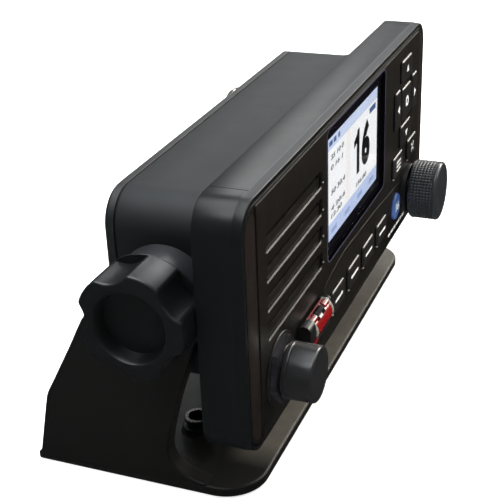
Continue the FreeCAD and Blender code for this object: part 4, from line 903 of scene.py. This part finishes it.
# ------------------------------------------------------------------ microphone socket and its cap
MX, MZ = -68.0, 36.7
cap_prof = [(-54.0, 0.0), (-54.0, 6.35), (-47.15, 6.35), (-47.0, 6.5), (-47.0, 7.6), (-47.12, 7.75), (-47.3, 7.8), (-48.1, 7.8), (-48.2, 7.66), (-48.45, 7.62), (-48.7, 7.66), (-48.8, 7.78), (-54.85, 7.72)]
cap_prof += [(-54.85 - 0.7 * math.sin(math.pi / 2 * k / 5), 7.72 - 0.7 * (1 - math.cos(math.pi / 2 * k / 5))) for k in range(1, 6)]
cap_prof += [(-55.6, 6.6), (-55.58, 0.0)]
capo = lathe("mic_cap_outer", "y", (MX, MZ), cap_prof, 128)
piece(capo, "mic_cap", ["mic_cap"], M_CAP, sharp=50)
thread = []
n_t = 60
for k in range(n_t + 1):
    t = -46.85 + (5.2) * k / n_t
    thread.append((t, 7.0 - 0.22 * (1 - abs(math.cos(math.pi * (t + 46.85) / 0.75)))))
sock = lathe("mic_barrel", "y", (MX, MZ), [(-53.0, 0.0), (-53.0, 5.7), (-52.7, 6.0), (-47.2, 6.0), (-46.95, 6.4)] + thread + [(-41.5, 6.9), (-41.5, 8.2), (-35.4, 8.2), (-35.4, 0.0)], 128)
piece(sock, "radio", ["mic_socket"], M_THREAD, sharp=40, weighted=False)
hexr = 8.3 / math.cos(math.pi / 6)
hx = [(MX + hexr * math.cos(math.radians(60 * i + 12)), MZ + hexr * math.sin(math.radians(60 * i + 12))) for i in range(6)]
nut = prism("hex", "y", -46.5, -44.9, hx)
boolean(nut, [lathe("nb", "y", (MX, MZ), [(-48, 7.03), (-44, 7.03)], 96)])
boolean(nut, [lathe("nc", "y", (MX, MZ), [(-46.52, 8.75), (-46.0, 9.7), (-44.8, 9.7), (-44.8, 0.0), (-46.52, 0.0)], 96)], "INTERSECT")
weld(nut)
nut.name = "mic_hex_nut"
piece(nut, "radio", ["mic_nut"], M_NUT)
wash = lathe("mic_seal_ring", "y", (MX, MZ), [(-44.42, 7.1), (-44.42, 10.1), (-44.5, 10.2), (-44.72, 10.2), (-44.88, 10.02), (-44.88, 7.1)], 96, closed=True)
piece(wash, "radio", ["mic_washer"], M_DARK)

# ------------------------------------------------------------------ distress cover, its frame and key
PY, PZ = -46.5, 39.9
LY, LZ, LR = -45.2, 37.4, 3.6


def roll(name, x0, x1, r_out, r_in, a0=90, a1=270, n=28):
    """Half tube about the cover's own axis; the angle runs from straight up over the front to straight down."""
    pts = []
    for k in range(n + 1):
        a = math.radians(a0 + (a1 - a0) * k / n)
        pts.append((LY + r_out * math.cos(a), LZ + r_out * math.sin(a)))
    for k in range(n, -1, -1):
        a = math.radians(a0 + (a1 - a0) * k / n)
        pts.append((LY + r_in * math.cos(a), LZ + r_in * math.sin(a)))
    return prism(name, "x", x0, x1, pts)


# the roll's lower half is black along most of its length, a painted shade where it turns down; its left end stays red
lid = [paint(roll("lidmid", -48.35, -35.65, LR - 0.02, LR - 0.8, 90, 196), M_RED),
       paint(roll("lidskirt", -47.4, -34.5, LR - 0.1, LR - 0.8, 195, 270), M_DARK),
       paint(roll("lidskirt_red", -49.5, -47.4, LR - 0.1, LR - 0.8, 195, 270), M_RED)]
for x0, x1 in ((-49.5, -48.3), (-35.7, -34.5)):
    lid.append(paint(roll("lidband", x0, x1, LR, LR - 0.8, 90, 196), M_BAND2))
for x in (-49.45, -35.3):
    pts = [(LY + (LR - 0.4) * math.cos(math.radians(90 + 180 * k / 24)), LZ + (LR - 0.4) * math.sin(math.radians(90 + 180 * k / 24))) for k in range(25)]
    lid.append(paint(prism("lidend", "x", x, x + 0.75, pts), M_DARK))
lid.append(paint(soft_prism("lidlip", "x", -49.5, -34.5, [(-47.6, 33.0), (-45.25, 33.0), (-45.25, 34.1), (-47.6, 34.1)], 0.12), M_DARK))
lid.append(paint(soft_prism("lidlip_red", "x", -49.48, -45.8, [(-47.75, 33.1), (-47.5, 33.1), (-47.5, 34.0), (-47.75, 34.0)], 0.08), M_RED))
lid.append(paint(roll("lidlabel", -46.3, -39.6, LR + 0.02, LR - 0.3, 98, 142, 16), M_LABEL))
lid.append(paint(roll("lidmark", -44.3, -42.0, LR + 0.045, LR - 0.2, 129, 143, 8), M_WHITE))
for x0, x1, mt in ((-49.5, -48.3, M_BAND2), (-48.3, -45.4, M_RED), (-38.6, -35.7, M_RED), (-35.7, -34.5, M_BAND2)):
    lid.append(paint(lathe("knuckle", "x", (PY, PZ), [(x0, 0.66), (x0, 1.2), (x0 + 0.04, 1.25), (x1 - 0.04, 1.25), (x1, 1.2), (x1, 0.66)], 32, closed=True), mt))
piece(join("roll_cover", lid), "distress_cover", ["distress_cover"], sharp=35)

fr = [soft_prism("fr_base", "x", -54.4, -33.3, [(-44.95, 31.9), (-44.42, 31.9), (-44.42, 33.5), (-44.95, 33.5)], 0.1)]
for nm, x0, x1, r, yb in (("lugl", -54.4, -49.8, 2.0, -48.5), ("lugr", -34.2, -33.3, 1.3, -47.8)):
    pts = [(-44.42, 31.9), (-44.42, PZ + 0.6)]
    pts += [(PY + r * math.cos(math.radians(a)), PZ + r * math.sin(math.radians(a))) for a in range(40, 186, 8)]
    pts += [(PY - r * 0.99, 37.0), (PY - 0.4, 33.4), (PY - 0.2, 31.9)]
    fr.append(soft_prism(nm, "x", x0, x1, pts, 0.22))
piece(join("cover_frame", fr), "radio", ["distress_hinge"], M_DARK)
dk = rr_loft("distress_cap", "y", -46.6, -37.4, 34.9, 38.0, 1.0, [(0.1, -41.6), (0, -41.8), (0, -45.2), (0.1, -45.45), (0.4, -45.6), (1.2, -45.6)], 6)
piece(dk, "distress_key", ["distress_key"], M_RED)

# ------------------------------------------------------------------ chassis and rear


def cr(i, y, n=14):
    return rr(73 - i, 28.7 + i, 82.9 - i, 10 - i, y, n)


ch = [cr(0.25, -30.3), cr(0.07, -30.24), cr(0, -30.05), cr(0, -20), cr(0, -12), cr(0, -1.95), cr(0.07, -1.76), cr(0.25, -1.7), cr(2.4, -1.7), cr(2.4, -30.3)]
chassis = loft("chassis_tube", ch, closed=True)
boolean(chassis, [lathe("kh%d" % s, "x", AX, [(s * 70, 4.2), (s * 74, 4.2)], 40) for s in (-1, 1)])
weld(chassis)
piece(chassis, "radio", ["chassis_shell"], M_CHASSIS, weighted=False, sharp=33)

RS = [(sx * 65.2, z) for sx in (-1, 1) for z in (35.6, 76.0)]
GX, GZ = 42.0, 67.1
rc = loft("rear_plate", [cr(0.12, -1.1), cr(0, -0.98), cr(0, 0.84), cr(0.1, 0.98), cr(1.0, 1.92), cr(1.2, 2.0)])
holes = [lathe("rh%d" % i, "y", c, [(-3, 1.7), (1.0, 1.7), (1.0, 3.25), (4, 3.25)], 36) for i, c in enumerate(RS)]
holes.append(lathe("rha", "y", (GX, GZ), [(-3, 6.1), (4, 6.1)], 48))
boolean(rc, holes)
weld(rc)
fins = [rc]
for x in (-30, -24, -18, -12, -6, 0, 6, 12):
    fins.append(loft("fin", [at("y", y, rrect(x - 0.9 + i, x + 0.9 - i, 40 + i * 3, 76 - i * 3, 0.8, 4)) for i, y in ((-0.15, 1.8), (0.0, 2.12), (0.12, 4.7), (0.3, 4.92), (0.55, 5.0))]))
piece(join("rear_casting", fins), "radio", ["rear_cover"], M_REAR)
piece(join("rear_screws", [socket_screw("rs%d" % i, "y", c, -9.4, 1.05, 2.62, 1.5, 3.0, 1.5, 1.0, 0.4) for i, c in enumerate(RS)]),
      "radio", ["case_screws"], M_STEEL)

# antenna socket with a real thread form
fl = rr_loft("ant_flange", "y", GX - 9.6, GX + 9.6, GZ - 9.6, GZ + 9.6, 2.0, [(0.0, 2.0), (0, 3.35), (0.08, 3.52), (0.3, 3.6)], 6)
boolean(fl, [lathe("fh", "y", (GX, GZ), [(1, 5.45), (6, 5.45)], 64)])
weld(fl)
ridge = []
for k in range(0, 97):
    t = 4.1 + 8.0 * k / 96
    ridge.append((t, 7.94 - 0.62 * abs(math.sin(math.pi * (t - 4.1) / 1.06))))
sleeve = lathe("ant_sleeve", "y", (GX, GZ), [(2.05, 5.45), (2.05, 7.4), (3.6, 7.4)] + ridge + [(12.5, 7.2), (13.0, 6.9), (13.0, 5.7), (12.8, 5.45)], 96, closed=True)
piece(join("antenna_sleeve", [fl, sleeve]), "radio", ["antenna_socket"], M_NICKEL, sharp=40, weighted=False)
ai = lathe("ant_insul", "y", (GX, GZ), [(-6, 2.2), (-6, 5.35), (10.6, 5.35), (10.9, 5.1), (10.9, 3.0), (10.4, 2.6), (10.4, 2.2)], 64, closed=True)
piece(ai, "radio", ["antenna_insulator"], M_INSUL)
ac = lathe("ant_contact", "y", (GX, GZ), [(-8, 0.0), (-8, 1.9), (-7.8, 2.15), (10.2, 2.15), (10.4, 2.0), (10.4, 1.6), (10.1, 1.5), (4.0, 1.5), (4.0, 0.0)], 48)
piece(ac, "radio", ["antenna_contact"], M_BRASS)
piece(join("antenna_plate_screws", [socket_screw("as%d" % i, "y", (GX + a, GZ + b), 3.55, 3.63, 4.6, 1.0, 1.6, 0.8, 0.6, 0.3)
                                    for i, (a, b) in enumerate([(-7.6, -7.6), (7.6, -7.6), (-7.6, 7.6), (7.6, 7.6)])]),
      "radio", ["antenna_screws"], M_STEEL)


def gland(name, node, x, z, r, bore):
    prof = [(-6, bore), (-6, r), (2.0, r), (2.02, r + 1.85), (2.15, r + 2.0), (3.9, r + 2.0), (4.12, r + 1.9), (4.2, r + 1.7)]
    r0, r1 = r + 1.2, r - 0.6
    rings = 5
    for k in range(rings):
        a, b = 4.2 + 6.0 * k / rings, 4.2 + 6.0 * (k + 1) / rings
        ra, rb = r0 + (r1 - r0) * k / rings, r0 + (r1 - r0) * (k + 1) / rings
        prof += [(a + 0.05, ra - 0.02), (a + 0.55, ra - 0.1), (a + 0.7, ra - 0.5), (b - 0.1, rb - 0.5), (b, rb - 0.15)]
    prof += [(10.2, r1 - 0.6), (10.2, bore + 0.3), (9.9, bore)]
    ob = lathe(name, "y", (x, z), prof, 64, closed=True)
    return piece(ob, "radio", [node], M_RUBBER, sharp=30, weighted=False)


gland("power_boot", "power_gland", -50.0, 50.0, 4.95, 2.6)
gland("data_boot", "data_gland", 56.0, 46.0, 3.95, 1.9)


# ------------------------------------------------------------------ clamp knobs
def knob_outline(side, n=900):
    out = []
    for k in range(n):
        a = 2 * math.pi * k / n
        r = 14.6
        for j in range(5):
            c = math.radians(106.4 + 72 * j)
            if side < 0:
                c = math.pi - c
            dlt = math.atan2(math.sin(a - c), math.cos(a - c))
            if abs(dlt) < 0.42:
                s = 20.0 * math.sin(dlt)
                if abs(s) < 7.7:
                    r = min(r, 20.0 * math.cos(dlt) - math.sqrt(7.7 ** 2 - s * s))
        out.append(r)
    w = 7
    return [sum(out[(i + j) % n] for j in range(-w, w + 1)) / (2 * w + 1) for i in range(n)]


def knob(side, name, node, body):
    n = 900
    R = knob_outline(side, n)

    def ring(i, x, cap_r=None):
        pts = []
        for k in range(n):
            a = 2 * math.pi * k / n
            r = (R[k] - i) if cap_r is None else cap_r
            pts.append((side * x, AX[0] + r * math.cos(a), AX[1] + r * math.sin(a)))
        return pts
    rings = [ring(0, 92.15, 4.06), ring(0, 84.45, 4.06), ring(0, 84.45, 8.9), ring(0, 84.45, 14.35), ring(0, 84.52, 14.55), ring(0, 84.65, 14.6),
             ring(0, 85.12, 14.6), ring(0, 85.22, 14.55), ring(0, 85.25, 14.4), ring(0.25, 85.25), ring(0.02, 85.3), ring(0, 90.0), ring(0, 96.4)]
    rings += [ring(0.8 * (1 - math.cos(math.pi / 2 * k / 6)), 96.4 + 0.8 * math.sin(math.pi / 2 * k / 6)) for k in range(1, 7)]
    # rim of the dish, its conical wall, floor and boss
    for r, x in ((10.35, 97.2), (10.1, 97.14), (9.93, 96.95), (9.55, 95.0), (9.15, 92.75), (5.0, 92.7), (0.4, 92.68)):
        rings.append(ring(0, x, r))
    ob = loft(name, rings)
    piece(ob, body, [node], M_KNOB, sharp=42, weighted=False)


knob(-1, "left_handwheel", "left_knob_grip", "left_knob")
knob(1, "right_handwheel", "right_knob_grip", "right_knob")

# ------------------------------------------------------------------ CAD nodes that stay: finishes only
KEEP = {
    "left_knob_bolt": M_STEEL, "right_knob_bolt": M_STEEL, "left_knob_washer": M_STEEL, "right_knob_washer": M_STEEL,
    "knob_inserts": M_BRASS, "friction_washers": M_RUBBER, "front_gasket": M_RUBBER, "rear_gasket": M_RUBBER,
    "grille_mesh": M_GAUZE, "speaker_frame": M_ALU, "speaker_cone": M_GAUZE, "front_board": M_BOARD, "main_board": M_BOARD,
    "keypad_mat": M_RUBBER, "lcd_module": M_ALU, "power_module": M_ALU, "encoder_body": M_ALU, "encoder_plunger": M_INSUL,
    "dial_shaft": M_STEEL, "distress_pin": M_BLACKMETAL, "distress_spring": M_BLACKMETAL,
}
for nm, mat in KEEP.items():
    ob = NODE[nm]
    ob.data.materials.clear()
    ob.data.materials.append(mat)
    for p in ob.data.polygons:
        p.material_index = 0

# ------------------------------------------------------------------ floor, light, camera
bpy.ops.mesh.primitive_grid_add(x_subdivisions=2, y_subdivisions=2, size=8.0, location=(0, 0, -0.0003))
floor = bpy.context.object
floor.name = "floor"
F = Mat("floor_pale")
F.b.inputs["Base Color"].default_value = (0.93, 0.93, 0.93, 1)
F.b.inputs["Roughness"].default_value = 0.9
F.b.inputs["Specular IOR Level"].default_value = 0.0
F.b.inputs["Emission Color"].default_value = (1.0, 1.0, 1.0, 1)
F.b.inputs["Emission Strength"].default_value = 0.7
paint(floor, F.m)
floor.visible_glossy = False

# a pale wall far behind, so that low views have no dark horizon
WN = 64
wv = [(3.9 * math.cos(2 * math.pi * i / WN), 3.9 * math.sin(2 * math.pi * i / WN), z) for z in (-0.0002, 4.0) for i in range(WN)]
wf = [(i, WN + i, WN + (i + 1) % WN, (i + 1) % WN) for i in range(WN)]
wm = bpy.data.meshes.new("backdrop")
wm.from_pydata(wv, [], wf)
backdrop = bpy.data.objects.new("backdrop", wm)
scene.collection.objects.link(backdrop)
W = Mat("backdrop_pale")
W.b.inputs["Base Color"].default_value = (0.02, 0.02, 0.02, 1)
W.b.inputs["Roughness"].default_value = 0.9
W.b.inputs["Specular IOR Level"].default_value = 0.0
W.b.inputs["Emission Color"].default_value = (1.0, 1.0, 1.0, 1)
W.b.inputs["Emission Strength"].default_value = 0.90
paint(backdrop, W.m)
backdrop.visible_glossy = False
backdrop.visible_diffuse = False
backdrop.visible_shadow = False

world = bpy.data.worlds.new("studio")
scene.world = world
world.use_nodes = True
wt = world.node_tree
bg = wt.nodes["Background"]
bg.inputs["Strength"].default_value = 0.14
wc = wt.nodes.new("ShaderNodeTexCoord")
ws = wt.nodes.new("ShaderNodeSeparateXYZ")
wr = wt.nodes.new("ShaderNodeValToRGB")
wt.links.new(wc.outputs["Generated"], ws.inputs[0])
wt.links.new(ws.outputs["Z"], wr.inputs["Fac"])
wt.links.new(wr.outputs["Color"], bg.inputs["Color"])
wr.color_ramp.elements[0].position = 0.0
wr.color_ramp.elements[0].color = (0.03, 0.03, 0.03, 1)
wr.color_ramp.elements[1].position = 0.35
wr.color_ramp.elements[1].color = (0.95, 0.97, 1.0, 1)


def softbox(name, loc, target, sx, sy, power, color=(1, 1, 1)):
    li = bpy.data.lights.new(name, "AREA")
    li.shape, li.size, li.size_y, li.energy, li.color = "RECTANGLE", sx, sy, power, color
    ob = bpy.data.objects.new(name, li)
    scene.collection.objects.link(ob)
    d = Vector(target) - Vector(loc)
    ob.rotation_mode = "QUATERNION"
    ob.rotation_quaternion = d.to_track_quat("-Z", "Y")
    ob.location = loc
    return ob


T = (0.0, -0.02, 0.05)
softbox("overhead", (-0.10, 0.30, 1.30), T, 1.5, 1.1, 23, (0.93, 0.97, 1.0))
softbox("far_strip", (1.33, 0.545, 0.735), (0.0, -0.04, 0.09), 0.34, 0.34, 1.6, (1.0, 1.0, 1.0))
softbox("left_top", (-0.72, 0.50, 1.25), (-0.07, -0.02, 0.08), 0.45, 0.45, 2.0, (0.93, 0.97, 1.0))
softbox("right_high", (1.20, -0.02, 0.87), (0.0, -0.02, 0.06), 0.5, 0.5, 4.4, (0.96, 0.98, 1.0))
softbox("right_front", (1.08, -0.59, 0.49), T, 0.4, 0.4, 9.3, (1.0, 0.93, 0.84))
softbox("front_fill", (0.75, -1.05, 1.05), T, 1.1, 1.1, 11, (1.0, 0.99, 0.97))

scene.view_settings.view_transform = "Standard"
scene.view_settings.look = "None"
scene.view_settings.exposure = 0.0
scene.view_settings.gamma = 1.0

cam_data = bpy.data.cameras.new("photo_camera")
cam = bpy.data.objects.new("photo_camera", cam_data)
scene.collection.objects.link(cam)
cam_data.sensor_width = 36.0
cam_data.sensor_fit = "HORIZONTAL"
cam_data.lens = 80.3236
cam_data.shift_x, cam_data.shift_y = 0.010, 0.012
cam_data.clip_start, cam_data.clip_end = 0.01, 20.0
right = Vector((0.36649961, -0.92967192, -0.03725805))
down = Vector((-0.42159509, -0.13023918, -0.89738249))
fwd = Vector((0.82941884, 0.34459814, -0.43967773))
m = Matrix.Identity(4)
for i in range(3):
    m[i][0], m[i][1], m[i][2] = right[i], -down[i], -fwd[i]
m[0][3], m[1][3], m[2][3] = -0.30381165, -0.13368567, 0.19336825
cam.matrix_world = m
scene.camera = cam
